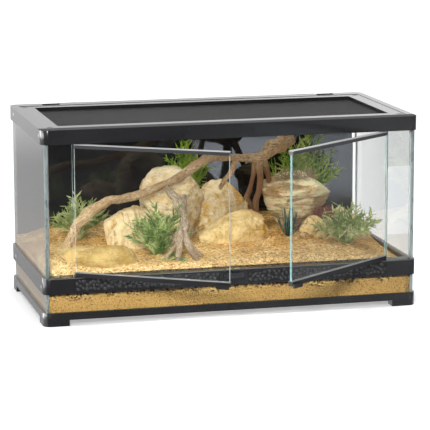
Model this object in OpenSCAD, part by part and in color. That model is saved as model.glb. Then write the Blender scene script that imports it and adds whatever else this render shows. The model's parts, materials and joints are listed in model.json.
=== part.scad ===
// Front-opening reptile terrarium: moulded frames, glass panes, two hinged glass doors,
// a lift-off screen lid and a furnished bed of sand, rocks, driftwood and plants.
// Millimetres. X runs along the length, Y from front to back, Z up.
// The origin is the centre of the footprint, on the table.

/* [Case] */
// Length of the moulded frames
case_length = 600; // [580:5:640]
// Depth of the moulded frames
case_depth = 300; // [290:5:330]
// Height of the whole case
case_height = 304; // [296:1:330]
// Outer corner radius of the frames
corner_radius = 12; // [10:0.5:12]
// Plastic outside the glass
frame_skin = 4.5; // [4.25:0.25:5.5]
// Plastic inside the glass
inner_skin = 3; // [2:0.5:3.5]
// Glass thickness
glass_thickness = 4; // [3:0.5:4]

/* [Levels] */
// Height of the base frame
base_height = 21; // [20:1:26]
// Gap under the base frame between the feet
foot_clearance = 9.5; // [6:0.5:10]
// Length of each foot along both sides
foot_length = 40; // [30:1:60]
// Underside of the middle band
band_bottom = 50; // [46:1:52]
// Top of the middle band
band_top = 75; // [74:1:78]
// Height of the top frame
top_frame_height = 22.5; // [22:0.5:26]

/* [Doors] */
// Opening of the left door as modelled, degrees
left_door_angle = 32; // [0:1:100]
// Opening of the right door as modelled, degrees
right_door_angle = 37; // [0:1:100]
// Distance from the case end to each hinge pin
hinge_inset = 54; // [50:1:60]
// Hinge pin radius
pin_radius = 1.5; // [1:0.1:1.8]
// Running clearance round each pin
pin_clearance = 0.05; // [0.02:0.01:0.1]
// Gap above and below each door
door_gap = 0.5; // [0.3:0.1:0.6]
// Height of the bottom rail
bottom_rail_height = 7.5; // [7:0.5:12]
// Height of the top rail
top_rail_height = 6; // [6:0.5:12]
// Thickness of both rails
rail_thickness = 8; // [7:0.5:8]
// Length of the pull tab under each free corner
tab_length = 20; // [14:1:30]

/* [Lid] */
// Width of the rim at the front and back
rim_front = 25; // [24:0.5:28]
// Width of the rim at the sides
rim_side = 12; // [12:0.5:14]
// Gap round the lid
lid_gap = 0.3; // [0.2:0.1:0.6]
// Width of the lid frame at the front and back
lid_frame_front = 20; // [18:0.5:24]
// Width of the lid frame at the sides
lid_frame_side = 22; // [20:0.5:26]
// Mesh openings along the length
mesh_columns = 27; // [9:1:27]
// Mesh openings along the depth
mesh_rows = 11; // [5:1:11]
// Width of a mesh wire
mesh_wire = 1.2; // [1:0.1:2]

/* [Latch] */
// Width of the centre plate
latch_plate_width = 45; // [40:1:60]
// Length of the turning bar
latch_bar_length = 30; // [28:1:34]
// Turn of the bar as modelled, degrees
latch_angle = 0; // [0:1:90]

/* [Furnishing] */
// Depth of the sand at the front edge, above the glass floor
sand_depth = 63; // [61:1:68]
// Rise of the sand from the front to the back
sand_rise = 26; // [20:1:32]
// Seed of the stone shapes
stone_seed = 7; // [1:1:40]

/* [Hidden] */
$fn = 48;

black = [0.13, 0.13, 0.14];
dark = [0.08, 0.08, 0.09];
clear = [0.75, 0.88, 0.88, 0.35];
steel = [0.7, 0.7, 0.72];
sand_colour = [0.85, 0.68, 0.4];
stone_colour = [0.88, 0.77, 0.56];
wood_colour = [0.55, 0.38, 0.24];

half_l = case_length / 2;
half_d = case_depth / 2;
glass_x = half_l - frame_skin;
glass_y = half_d - frame_skin;
inner_x = glass_x - glass_thickness;
inner_y = glass_y - glass_thickness;
skin_x = inner_x - inner_skin;
skin_y = inner_y - inner_skin;
ledge = 3.5;
ledge_width = 16;
floor_z = foot_clearance + ledge;
floor_top = floor_z + glass_thickness;
web = 3;
web_z = (band_bottom + band_top) / 2;
upper_z = web_z + web;
top_z = case_height - top_frame_height;
glass_top = case_height - 7;
k_x = case_length / 600;
k_y = case_depth / 300;

// front sill
sill_inner = half_d - rim_front;
beam_depth = 13;
sill_thick = 4;
grille_depth = 2;
grille_x = 245 * k_x;
grille_y0 = -half_d + 11;
grille_y1 = -sill_inner - 2;
panel_recess = 1.5;
panel_z0 = band_bottom + 4;
panel_z1 = band_top - 4;
plate_half = latch_plate_width / 2;
plate_recess = 2;

// doors
pin_x = half_l - hinge_inset;
pin_y = -half_d + rail_thickness / 2;
bore_radius = pin_radius + pin_clearance;
pin_reach = 5.5;
pin_grip = 2.5;
door_z0 = band_top + door_gap;
door_z1 = top_z - door_gap;
meeting_gap = 1;
glass_bite = 3;
tab_drop = 3;
tab_thick = 3.5;
tab_air = 0.3;
magnet = [8, 5, 1.2];
magnet_x = 6;

// turn latch
spindle_radius = 2.5;
bar_thick = 3.5;
bar_width = 8;
bar_gap = 0.5;
bar_z = web_z + 3.5;
bar_y = -half_d - tab_thick - bar_gap;
collar = [4, 1.5];
collar_air = 0.1;

// lid
pocket_x = half_l - rim_side;
pocket_y = half_d - rim_front;
lid_thick = 9;
lid_drop = 0.5;
seat_z = case_height - lid_drop - lid_thick;
lid_top = seat_z + lid_thick;
seat_ledge = 9;
lid_x = pocket_x - lid_gap;
lid_y = pocket_y - lid_gap;
window_x = lid_x - lid_frame_side;
window_y = lid_y - lid_frame_front;
rebate = 6;
retainer_thick = 2.5;
mesh_thick = 1;
mesh_z = seat_z + retainer_thick;
lock_x = lid_x - 7.7;
lock_y = lid_y - 9.7;
cam_length = 11;
cam_width = 6;
cam_z = lid_top - 4.5;
cam_thick = 2;
knob_radius = 4.5;
knob_thick = 1.4;
shaft_radius = 2;
lock_air = 0.3;
knob_air = 0.1;

// cable inlets in the back rim
inlet_width = 29;
inlet_inner = half_l - 81;
gate_thick = 2.3;
gate_air = 0.2;
gate_y = half_d - 3.4;
gate_z = glass_top + 0.6;
gate_top = case_height - 0.2;
shaft_y0 = pocket_y + 3;
shaft_y1 = half_d - beam_depth;

// assembly screws in the frame ends
screw_radius = 2.5;
screw_depth = 1;
screw_y = [-half_d + 22, half_d - 40];

sand_x = skin_x;
sand_y0 = -sill_inner;
sand_y1 = skin_y;
sand_front = floor_top + sand_depth;

module block(x0, x1, y0, y1, z0, z1)
  translate([x0, y0, z0]) cube([x1 - x0, y1 - y0, z1 - z0]);

module slab(x, y, z0, z1) block(-x, x, -y, y, z0, z1);

// rounded outer body shared by the three frames
module frame_body(z0, z1)
  translate([0, 0, z0]) linear_extrude(z1 - z0) {
    square([case_length - 2 * corner_radius, case_depth], center = true);
    square([case_length, case_depth - 2 * corner_radius], center = true);
    for (sx = [-1, 1], sy = [-1, 1])
      translate([sx * (half_l - corner_radius), sy * (half_d - corner_radius)])
        circle(corner_radius);
  }

module screw_pockets(z)
  for (s = [-1, 1], y = screw_y)
    translate([s * half_l, y, z]) rotate([0, -s * 90, 0])
      cylinder(r = screw_radius, h = screw_depth);

// ---------- case ----------

module base_frame()
  color(black) difference() {
    frame_body(0, base_height);
    slab(glass_x, glass_y, floor_z, base_height + 1);
    slab(glass_x - ledge_width, glass_y - ledge_width, -1, floor_z + 1);
    slab(half_l - foot_length, half_d + 1, -1, foot_clearance);
    slab(half_l + 1, half_d - foot_length, -1, foot_clearance);
  }

module bottom_glass() color(clear) slab(glass_x, glass_y, floor_z, floor_top);

module side_pane(s, z0, z1)
  color(clear) mirror([s > 0 ? 1 : 0, 0, 0])
    block(-glass_x, -inner_x, -glass_y, glass_y, z0, z1);

module lower_left_glass() side_pane(-1, floor_top, web_z);
module lower_right_glass() side_pane(1, floor_top, web_z);
module upper_left_glass() side_pane(-1, upper_z, glass_top);
module upper_right_glass() side_pane(1, upper_z, glass_top);
module lower_back_glass()
  color(clear) block(-inner_x, inner_x, inner_y, glass_y, floor_top, web_z);
module lower_front_glass()
  color(clear) block(-inner_x, inner_x, -glass_y, -inner_y, floor_top, web_z);
module upper_back_glass()
  color(clear) block(-inner_x, inner_x, inner_y, glass_y, upper_z, glass_top);

strip_inner = pin_x + rail_thickness / 2 + 1.5;
module front_strip(s)
  color(clear) mirror([s > 0 ? 1 : 0, 0, 0])
    block(-inner_x, -strip_inner, -glass_y, -inner_y, upper_z, glass_top);
module left_front_strip() front_strip(-1);
module right_front_strip() front_strip(1);

// black panel that stands in front of the upper back pane
// and leaves a gap at the right
panel_margin = 8;
module background_panel()
  color(dark) block(-inner_x, inner_x - panel_margin, inner_y - 2, inner_y, band_top, top_z);

module panel_pocket(s, deep, grow)
  mirror([s > 0 ? 1 : 0, 0, 0])
    block(-pin_x - 4, -plate_half, -half_d - grow, -half_d + deep, panel_z0, panel_z1);

module plate_pocket(deep, grow)
  block(-plate_half, plate_half, -half_d - grow, -half_d + deep, band_bottom + 1, band_top - 1.5);

module magnet_block(x, z0)
  block(x - magnet[0] / 2, x + magnet[0] / 2, pin_y - magnet[1] / 2, pin_y + magnet[1] / 2,
        z0, z0 + magnet[2]);

module middle_band()
  color(black) difference() {
    frame_body(band_bottom, band_top);
    // panes below and above the web
    difference() {
      union() {
        slab(glass_x, glass_y, band_bottom - 1, web_z);
        slab(glass_x, glass_y, upper_z, band_top + 1);
      }
      slab(inner_x, inner_y, band_bottom - 2, band_top + 2);
      block(-strip_inner, strip_inner, -half_d, -inner_y, upper_z - 1, band_top + 2);
    }
    // open middle, with the deep sill kept at the front
    block(-skin_x, skin_x, -sill_inner, skin_y, band_bottom - 1, band_top + 1);
    block(-skin_x, skin_x, -half_d + beam_depth, -sill_inner + 1, band_bottom - 1,
          band_top - sill_thick);
    for (s = [-1, 1]) {
      panel_pocket(s, panel_recess, 1);
      translate([s * pin_x, pin_y, band_top - pin_reach])
        cylinder(r = bore_radius, h = pin_reach + 1);
      magnet_block(s * magnet_x, band_top - magnet[2]);
    }
    plate_pocket(plate_recess, 1);
    translate([0, 0, bar_z]) rotate([90, 0, 0])
      translate([0, 0, half_d - beam_depth - 1])
        cylinder(r = spindle_radius + pin_clearance, h = beam_depth + 2);
    block(-grille_x, grille_x, grille_y0, grille_y1, band_top - grille_depth, band_top + 1);
    screw_pockets(web_z - 3);
  }

module left_pebble_panel() color(dark) panel_pocket(-1, panel_recess, 0);
module right_pebble_panel() color(dark) panel_pocket(1, panel_recess, 0);

module latch_plate()
  color(black) difference() {
    plate_pocket(plate_recess, 0);
    translate([0, -half_d - 1, bar_z]) rotate([-90, 0, 0])
      cylinder(r = spindle_radius + pin_clearance, h = plate_recess + 2);
  }

grille_slots = 48;
module vent_grille()
  color(dark) difference() {
    block(-grille_x, grille_x, grille_y0, grille_y1, band_top - grille_depth, band_top);
    for (i = [0 : grille_slots - 1])
      translate([(i + 0.5) * 2 * grille_x / grille_slots - grille_x - 1.5, grille_y0 + 2,
                 band_top - grille_depth - 1])
        cube([3, grille_y1 - grille_y0 - 4, grille_depth + 2]);
  }

module strike_plates()
  color(steel) for (s = [-1, 1]) magnet_block(s * magnet_x, band_top - magnet[2]);

module inlet_cut(s)
  mirror([s > 0 ? 1 : 0, 0, 0]) {
    // cable notch over the pane, and the drop into the case behind the lid
    block(-inlet_inner - inlet_width, -inlet_inner, shaft_y0, half_d + 1, gate_z,
          case_height + 1);
    block(-inlet_inner - inlet_width, -inlet_inner, shaft_y0, shaft_y1, top_z - 1,
          case_height + 1);
    // parking slot of the sliding gate
    block(-inlet_inner - inlet_width - 2, -inlet_inner + inlet_width + 1,
          gate_y - gate_thick / 2 - gate_air, gate_y + gate_thick / 2 + gate_air,
          gate_z, case_height + 1);
  }

module lock_sweep(s, t)
  translate([s * lock_x, t * lock_y, cam_z - lock_air])
    cylinder(r = cam_length + lock_air, h = cam_thick + 2 * lock_air);

module top_frame()
  color(black) difference() {
    frame_body(top_z, case_height);
    // seat and window for the lid
    slab(pocket_x, pocket_y, seat_z, case_height + 1);
    slab(pocket_x - seat_ledge, pocket_y - seat_ledge, top_z - 1, case_height);
    // hollow underside
    slab(pocket_x, half_d - beam_depth, top_z - 1, seat_z - 3);
    for (t = [0, 1]) mirror([0, t, 0])
      block(-pocket_x, pocket_x, -half_d + beam_depth, -pocket_y - 3, top_z - 1,
            case_height - 4);
    // panes
    difference() {
      slab(glass_x, glass_y, top_z - 1, glass_top);
      slab(inner_x, inner_y, top_z - 2, glass_top + 1);
      block(-strip_inner, strip_inner, -half_d, -inner_y, top_z - 2, glass_top + 1);
    }
    for (s = [-1, 1]) {
      translate([s * pin_x, pin_y, top_z - 1]) cylinder(r = bore_radius, h = pin_reach + 1);
      inlet_cut(s);
      for (t = [-1, 1]) intersection() {
        lock_sweep(s, t);
        translate([s * (pocket_x + 5), 0, 0]) slab(5.5, half_d, seat_z, case_height);
      }
    }
    screw_pockets(top_z + 12.5);
  }

module frame_screws()
  color(steel) for (z = [web_z - 3, top_z + 12.5]) screw_pockets(z);

// turning bar on a spindle through the centre plate, held by a collar behind the beam
module turn_latch()
  color(black) translate([0, bar_y, bar_z]) rotate([0, -latch_angle, 0]) {
    for (s = [-1, 1]) translate([s * (latch_bar_length - bar_width) / 2, -bar_thick, 0])
      rotate([-90, 0, 0]) cylinder(r = bar_width / 2, h = bar_thick);
    block((bar_width - latch_bar_length) / 2, (latch_bar_length - bar_width) / 2,
          -bar_thick, 0, -bar_width / 2, bar_width / 2);
    block(-bar_width, bar_width, -bar_thick - 1, -bar_thick, -1, 1);
    rotate([-90, 0, 0])
      cylinder(r = spindle_radius, h = -half_d + beam_depth + collar_air - bar_y);
    translate([0, -half_d + beam_depth + collar_air - bar_y, 0]) rotate([-90, 0, 0])
      cylinder(r = collar[0], h = collar[1]);
  }

// ---------- lid ----------

module lid_frame()
  color(black) difference() {
    slab(lid_x, lid_y, seat_z, lid_top);
    slab(window_x, window_y, seat_z - 1, lid_top + 1);
    slab(window_x + rebate, window_y + rebate, seat_z - 1, mesh_z + mesh_thick);
    for (s = [-1, 1], t = [-1, 1]) {
      lock_sweep(s, t);
      translate([s * lock_x, t * lock_y, cam_z]) cylinder(r = shaft_radius + pin_clearance, h = 9);
      translate([s * lock_x, t * lock_y, lid_top - knob_thick])
        cylinder(r = knob_radius + lock_air, h = knob_thick + 1);
    }
  }

module screen_mesh()
  color(steel) translate([0, 0, mesh_z]) linear_extrude(mesh_thick) difference() {
    square([2 * (window_x + rebate), 2 * (window_y + rebate)], center = true);
    for (i = [0 : mesh_columns - 1], j = [0 : mesh_rows - 1])
      translate([(i - (mesh_columns - 1) / 2) * 2 * window_x / mesh_columns,
                 (j - (mesh_rows - 1) / 2) * 2 * window_y / mesh_rows])
        square([2 * window_x / mesh_columns - mesh_wire,
                2 * window_y / mesh_rows - mesh_wire], center = true);
  }

module mesh_retainer()
  color(dark) difference() {
    slab(window_x + rebate, window_y + rebate, seat_z, mesh_z);
    slab(window_x, window_y, seat_z - 1, mesh_z + 1);
  }

// quarter-turn lock, modelled released: the cam lies along the side, towards the middle
module lid_lock(s, t)
  color(dark) translate([s * lock_x, t * lock_y, 0]) {
    difference() {
      translate([0, 0, lid_top - knob_thick + knob_air])
        cylinder(r = knob_radius, h = knob_thick - knob_air);
      translate([0, 0, lid_top]) cube([2 * knob_radius + 1, 1.2, 1.2], center = true);
    }
    translate([0, 0, cam_z]) {
      cylinder(r = shaft_radius, h = lid_top - knob_thick + knob_air - cam_z);
      cylinder(r = cam_width / 2, h = cam_thick);
      mirror([0, t > 0 ? 1 : 0, 0])
        block(-cam_width / 2, cam_width / 2, 0, cam_length - 1, 0, cam_thick);
    }
  }
module front_left_lid_lock() lid_lock(-1, -1);
module front_right_lid_lock() lid_lock(1, -1);
module back_left_lid_lock() lid_lock(-1, 1);
module back_right_lid_lock() lid_lock(1, 1);

// sliding gate of a cable inlet, modelled closed
module inlet_gate(s)
  color(dark) mirror([s > 0 ? 1 : 0, 0, 0])
    block(-inlet_inner - inlet_width + 0.5, -inlet_inner - 0.5, gate_y - gate_thick / 2,
          gate_y + gate_thick / 2, gate_z + 0.1, gate_top);
module left_inlet_gate() inlet_gate(-1);
module right_inlet_gate() inlet_gate(1);

// ---------- doors ----------

door_length = pin_x - meeting_gap;
half_rail = rail_thickness / 2;

// places a door piece drawn along +X from its pin, opened by the modelled angle
module hinged(s)
  mirror([s > 0 ? 1 : 0, 0, 0]) translate([-pin_x, pin_y, 0])
    rotate([0, 0, s > 0 ? -right_door_angle : -left_door_angle]) children();

module door_pane()
  block(1 - half_rail, door_length - 0.5, -glass_thickness / 2, glass_thickness / 2,
        door_z0 + glass_bite, door_z1 - glass_bite);

module rail_bar(z, h) {
  translate([0, 0, z]) cylinder(r = half_rail, h = h);
  block(0, door_length, -half_rail, half_rail, z, z + h);
}

module pins() {
  z0 = band_top - pin_reach + 0.3;
  z1 = door_z1 - pin_grip;
  translate([0, 0, z0]) cylinder(r = pin_radius, h = door_z0 + pin_grip - z0);
  translate([0, 0, z1]) cylinder(r = pin_radius, h = top_z + pin_reach - 0.3 - z1);
}

module door_magnet()
  translate([pin_x, -pin_y, 0]) magnet_block(-magnet_x, door_z0);

module bottom_rail(s)
  color(black) hinged(s) difference() {
    union() {
      rail_bar(door_z0, bottom_rail_height);
      block(door_length - 0.5 - tab_length, door_length - 0.5, -half_rail - tab_thick,
            -half_rail, door_z0, door_z0 + tab_drop);
      block(door_length - 0.5 - tab_length, door_length - 0.5, -half_rail - tab_thick,
            -half_rail - tab_air, door_z0 - tab_drop, door_z0);
    }
    door_pane();
    pins();
    door_magnet();
  }

module top_rail(s)
  color(black) hinged(s) difference() {
    rail_bar(door_z1 - top_rail_height, top_rail_height);
    door_pane();
    pins();
  }

module left_door_glass() color(clear) hinged(-1) door_pane();
module right_door_glass() color(clear) hinged(1) door_pane();
module left_top_rail() top_rail(-1);
module right_top_rail() top_rail(1);
module left_bottom_rail() bottom_rail(-1);
module right_bottom_rail() bottom_rail(1);
module left_hinge_pins() color(steel) hinged(-1) pins();
module right_hinge_pins() color(steel) hinged(1) pins();
module left_door_magnet() color(steel) hinged(-1) door_magnet();
module right_door_magnet() color(steel) hinged(1) door_magnet();

// ---------- furnishing ----------

// places a point of the furnishing in a case of another size
function at(p) = [p[0] * k_x, p[1] * k_y, p[2] + sand_front - 80];

function bump(u, v, cx, cy, sx, sy) = exp(-pow((u - cx) / sx, 2) - pow((v - cy) / sy, 2));

// height of the sand at a place given in the 600 by 300 case
function sand_z(u, v) = sand_front + sand_rise * (v + 125) / 263
  + 24 * bump(u, v, -290, -95, 42, 48)
  - 20 * bump(u, v, -290, 100, 40, 90)
  - 24 * bump(u, v, 290, 10, 55, 150)
  + 6 * bump(u, v, 20, 120, 120, 60);

nu = 24;
nv = 12;
function grid_id(i, j) = j * (nu + 1) + i;
grid_edge = concat([for (i = [0 : nu - 1]) grid_id(i, 0)],
                   [for (j = [0 : nv - 1]) grid_id(nu, j)],
                   [for (i = [nu : -1 : 1]) grid_id(i, nv)],
                   [for (j = [nv : -1 : 1]) grid_id(0, j)]);
grid_count = (nu + 1) * (nv + 1);

module sand_field() {
  top = [for (j = [0 : nv], i = [0 : nu])
    let (x = -sand_x + 2 * sand_x * i / nu, y = sand_y0 + (sand_y1 - sand_y0) * j / nv)
      [x, y, sand_z(x / k_x, y / k_y)]];
  low = [for (e = grid_edge) [top[e][0], top[e][1], band_bottom]];
  ne = len(grid_edge);
  polyhedron(concat(top, low), concat(
    [for (j = [0 : nv - 1], i = [0 : nu - 1])
      [grid_id(i, j), grid_id(i, j + 1), grid_id(i + 1, j + 1)]],
    [for (j = [0 : nv - 1], i = [0 : nu - 1])
      [grid_id(i, j), grid_id(i + 1, j + 1), grid_id(i + 1, j)]],
    [for (k = [0 : ne - 1]) let (n = (k + 1) % ne)
      [grid_edge[k], grid_edge[n], grid_count + n, grid_count + k]],
    [[for (k = [0 : ne - 1]) grid_count + k]]));
}

// stones: centre, half sizes, roughness, narrowing towards the foot
stones = [
  [[-54, 44, 146], [49, 42, 63], 0.07, 0],
  [[-136, 6, 112], [57, 36, 44], 0.09, 0],
  [[28, 66, 130], [51, 34, 51], 0.09, 0],
  [[32, 3, 107], [65, 33, 32], 0.09, 0],
  [[160, 58, 146], [62, 34, 41], 0.09, 0.45],
  [[167, -12, 104], [25, 17, 21], 0.14, 0],
  [[244, 36, 100], [38, 27, 28], 0.13, 0],
  [[-208, -84, 84], [66, 32, 27], 0.05, 0]];

rings = 6;
sides = 12;
function ring_id(a, b) = (a - 1) * sides + (b % sides);

module raw_stone(c, r, rough, narrow, seed) {
  jitter = rands(-1, 1, rings * sides, seed + stone_seed);
  points = [for (a = [1 : rings], b = [0 : sides - 1])
    let (th = 180 * a / (rings + 1), az = 360 * (b + (a % 2) / 2) / sides,
         q = 1 + rough * jitter[ring_id(a, b)],
         w = pow(sin(th), 0.8) * (1 - narrow * max(0, -cos(th))))
      [r[0] * w * cos(az) * q, r[1] * w * sin(az) * q, r[2] * cos(th) * q]];
  translate(at(c)) hull() polyhedron(concat(points, [[0, 0, r[2]], [0, 0, -r[2]]]),
    concat([for (b = [0 : sides - 1]) [rings * sides, ring_id(1, b + 1), ring_id(1, b)]],
           [for (b = [0 : sides - 1])
             [rings * sides + 1, ring_id(rings, b), ring_id(rings, b + 1)]],
           [for (a = [1 : rings - 1], b = [0 : sides - 1])
             [ring_id(a, b), ring_id(a, b + 1), ring_id(a + 1, b + 1)]],
           [for (a = [1 : rings - 1], b = [0 : sides - 1])
             [ring_id(a, b), ring_id(a + 1, b + 1), ring_id(a + 1, b)]]));
}

module whole_stone(i)
  raw_stone(stones[i][0], stones[i][1], stones[i][2], stones[i][3], i);

// a stone, cut where an earlier one is
module stone(i)
  color(stone_colour) difference() {
    whole_stone(i);
    if (i > 0) for (j = [0 : i - 1]) whole_stone(j);
  }

module all_stones() for (i = [0 : len(stones) - 1]) whole_stone(i);

module round_boulder() stone(0);
module striped_slab() stone(1);
module pale_peak() stone(2);
module front_boulder() stone(3);
module layered_rock() stone(4);
module pitted_stone() stone(5);
module corner_stone() stone(6);
module low_mound_stone() stone(7);

// round limb through points [x, y, z, radius]
limb_sides = 8;
function unit(v) = v / norm(v);
function xyz(p) = at([p[0], p[1], p[2]]);
module limb(path) {
  last = len(path) - 1;
  points = [for (i = [0 : last])
    let (c = xyz(path[i]),
         t = unit(xyz(path[min(i + 1, last)]) - xyz(path[max(i - 1, 0)])),
         u = unit(cross(t, [0.05, 1, 0.1])), v = cross(t, u))
      for (k = [0 : limb_sides - 1])
        c + path[i][3] * (cos(360 * k / limb_sides) * u + sin(360 * k / limb_sides) * v)];
  polyhedron(points, concat(
    [[for (k = [0 : limb_sides - 1]) k]],
    [for (i = [0 : last - 1], k = [0 : limb_sides - 1]) let (n = (k + 1) % limb_sides)
      [i * limb_sides + k, (i + 1) * limb_sides + k, (i + 1) * limb_sides + n]],
    [for (i = [0 : last - 1], k = [0 : limb_sides - 1]) let (n = (k + 1) % limb_sides)
      [i * limb_sides + k, (i + 1) * limb_sides + n, i * limb_sides + n]],
    [[for (k = [limb_sides - 1 : -1 : 0]) last * limb_sides + k]]));
}

branch_limbs = [
  [[-258, -72, 84, 8], [-246, -68, 113, 8], [-225, -60, 144, 8.5], [-198, -48, 163, 8],
   [-172, -38, 172, 7], [-138, -30, 175, 6.5], [-104, -24, 183, 6], [-79, -20, 191, 6],
   [-53, -16, 201, 6.5], [-18, -4, 220, 7], [8, 10, 226, 6], [43, 26, 222, 5.5],
   [77, 38, 217, 6.5], [98, 40, 219, 9], [119, 38, 235, 12], [137, 34, 245, 12],
   [151, 32, 250, 8]],
  [[88, 42, 217, 5], [83, 50, 178, 4], [77, 56, 148, 4.5], [82, 56, 134, 4], [85, 54, 88, 3.5]],
  [[93, 40, 219, 5.5], [94, 40, 171, 5.5], [87, 40, 139, 5], [92, 40, 90, 4.5]],
  [[100, 42, 219, 6], [112, 56, 185, 5], [120, 60, 158, 4]],
  [[53, 29, 221, 5], [44, 34, 196, 4], [33, 40, 181, 3.5], [28, 50, 164, 3]]];

root_limbs = [
  [[-70, -47, 175, 6], [-66, -57, 165, 8.5], [-60, -65, 147, 6.5], [-60, -74, 130, 6.5],
   [-69, -80, 119, 6]],
  [[-67, -79, 123, 6], [-79, -60, 103, 4.5], [-94, -25, 84, 3]],
  [[-67, -82, 122, 5.5], [-75, -98, 99, 4.5], [-79, -106, 72, 3]],
  [[-62, -78, 124, 5.5], [-58, -87, 106, 5], [-43, -104, 74, 3.5]]];

module branch_wood() for (path = branch_limbs) limb(path);
module root_wood() for (path = root_limbs) limb(path);

module driftwood_branch() color(wood_colour) difference() { branch_wood(); all_stones(); }
module driftwood_root() color(wood_colour) difference() { root_wood(); all_stones(); }

// one flat pointed leaf from b to t
module leaf(b, t, w) {
  d = unit(t - b);
  u = unit(cross(d, [0.3, 0.2, 1]));
  v = cross(d, u);
  m = b + (t - b) * 0.45;
  hull() polyhedron([b, m + u * w, m + v * w / 4, m - u * w, m - v * w / 4, t],
             [[0, 1, 2], [0, 2, 3], [0, 3, 4], [0, 4, 1],
              [5, 2, 1], [5, 3, 2], [5, 4, 3], [5, 1, 4]]);
}

// plants: place on the sand, half spread, height, leaves, leaf half width, colour
plants = [
  [[-205, 50], [46, 26], 64, 26, 5, [0.45, 0.52, 0.25]],
  [[-101, -62], [42, 30], 72, 24, 4, [0.3, 0.5, 0.32]],
  [[-12, 121], [36, 11], 128, 18, 5, [0.35, 0.6, 0.15]],
  [[188, 117], [60, 14], 138, 30, 6, [0.4, 0.6, 0.2]],
  [[217, -42], [54, 36], 60, 28, 5, [0.4, 0.52, 0.28]],
  [[131, 0], [24, 18], 56, 12, 4, [0.12, 0.25, 0.22]]];

stub = [5, 12, 6];

function plant_foot(i) = let (p = plants[i][0]) [p[0] * k_x, p[1] * k_y, sand_z(p[0], p[1])];

// the stub of a plant stands in the sand
module plant_stub(i)
  translate(plant_foot(i) - [0, 0, stub[1]])
    cylinder(r = stub[0], h = stub[1] + stub[2], $fn = 12);

module plant_leaves(i) {
  p = plants[i];
  foot = plant_foot(i);
  turn = rands(0, 50, p[3], i + 11);
  lean = rands(0.15, 1, p[3], i + 31);
  rise = rands(0.85, 1, p[3], i + 51);
  for (k = [0 : p[3] - 1]) let (a = 360 * k * 0.382 + turn[k], e = lean[k])
    leaf(foot, foot + [p[1][0] * e * cos(a), p[1][1] * e * sin(a),
                       p[2] * rise[k] * (1 - 0.55 * e * e)], p[4]);
}

module plant(i)
  color(plants[i][5]) {
    plant_stub(i);
    difference() {
      plant_leaves(i);
      all_stones();
      branch_wood();
      root_wood();
      sand_field();
    }
  }

module left_plant() plant(0);
module centre_plant() plant(1);
module hilltop_plant() plant(2);
module back_plant() plant(3);
module front_right_plant() plant(4);
module agave() plant(5);

// clumps of moss: centre, half sizes, colour
moss_red = [[200, 25, 115], [16, 11, 11]];
moss_dry = [[158, 52, 184], [34, 20, 9]];

module moss(m, tint, seed)
  color(tint) difference() {
    raw_stone(m[0], m[1], 0.25, 0, seed);
    all_stones();
    branch_wood();
    for (i = [0 : len(plants) - 1]) plant_leaves(i);
    sand_field();
  }
module red_moss() moss(moss_red, [0.45, 0.2, 0.15], 101);
module dry_moss() moss(moss_dry, [0.6, 0.5, 0.3], 102);

module sand_bed()
  color(sand_colour) difference() {
    union() {
      slab(inner_x, inner_y, floor_top, band_bottom);
      sand_field();
    }
    all_stones();
    branch_wood();
    root_wood();
    for (i = [0 : len(plants) - 1]) plant_stub(i);
  }

base_frame();
bottom_glass();
lower_left_glass();
lower_right_glass();
lower_back_glass();
lower_front_glass();
upper_left_glass();
upper_right_glass();
upper_back_glass();
left_front_strip();
right_front_strip();
background_panel();
middle_band();
left_pebble_panel();
right_pebble_panel();
latch_plate();
vent_grille();
strike_plates();
top_frame();
frame_screws();
turn_latch();
lid_frame();
screen_mesh();
mesh_retainer();
front_left_lid_lock();
front_right_lid_lock();
back_left_lid_lock();
back_right_lid_lock();
left_inlet_gate();
right_inlet_gate();
left_door_glass();
left_top_rail();
left_bottom_rail();
left_hinge_pins();
left_door_magnet();
right_door_glass();
right_top_rail();
right_bottom_rail();
right_hinge_pins();
right_door_magnet();
sand_bed();
round_boulder();
striped_slab();
pale_peak();
front_boulder();
layered_rock();
pitted_stone();
corner_stone();
low_mound_stone();
driftwood_branch();
driftwood_root();
left_plant();
centre_plant();
hilltop_plant();
back_plant();
front_right_plant();
agave();
red_moss();
dry_moss();
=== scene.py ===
import json
import math
import random

import bmesh
import bpy
from bpy.props import (FloatProperty, FloatVectorProperty, IntProperty, PointerProperty)
from mathutils import Matrix, Vector, noise

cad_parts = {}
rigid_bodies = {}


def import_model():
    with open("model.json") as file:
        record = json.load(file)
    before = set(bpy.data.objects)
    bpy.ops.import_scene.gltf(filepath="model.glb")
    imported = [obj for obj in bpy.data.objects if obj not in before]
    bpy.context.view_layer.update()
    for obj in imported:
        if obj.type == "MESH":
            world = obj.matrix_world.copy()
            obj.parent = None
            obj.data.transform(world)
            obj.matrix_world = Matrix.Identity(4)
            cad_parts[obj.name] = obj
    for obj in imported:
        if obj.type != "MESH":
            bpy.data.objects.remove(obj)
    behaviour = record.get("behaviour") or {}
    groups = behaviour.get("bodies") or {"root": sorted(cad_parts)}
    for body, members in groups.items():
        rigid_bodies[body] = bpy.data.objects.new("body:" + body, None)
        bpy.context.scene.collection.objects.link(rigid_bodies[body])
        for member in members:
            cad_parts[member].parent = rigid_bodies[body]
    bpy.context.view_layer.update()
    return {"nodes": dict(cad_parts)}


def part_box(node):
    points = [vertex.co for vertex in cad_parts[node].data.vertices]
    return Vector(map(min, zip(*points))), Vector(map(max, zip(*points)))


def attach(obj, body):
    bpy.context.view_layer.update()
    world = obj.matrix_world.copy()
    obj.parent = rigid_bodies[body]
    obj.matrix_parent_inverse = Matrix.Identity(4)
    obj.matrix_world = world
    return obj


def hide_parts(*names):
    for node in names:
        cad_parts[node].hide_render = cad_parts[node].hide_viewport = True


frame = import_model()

bl_info = {
    "name": "Furnished Terrarium",
    "version": (1, 0, 0),
    "blender": (4, 5, 0),
    "location": "View3D > Sidebar > Terrarium",
    "description": "Dresses a front-opening terrarium: glass, mouldings, sand, stones, wood and plants",
    "category": "Object",
}

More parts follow.
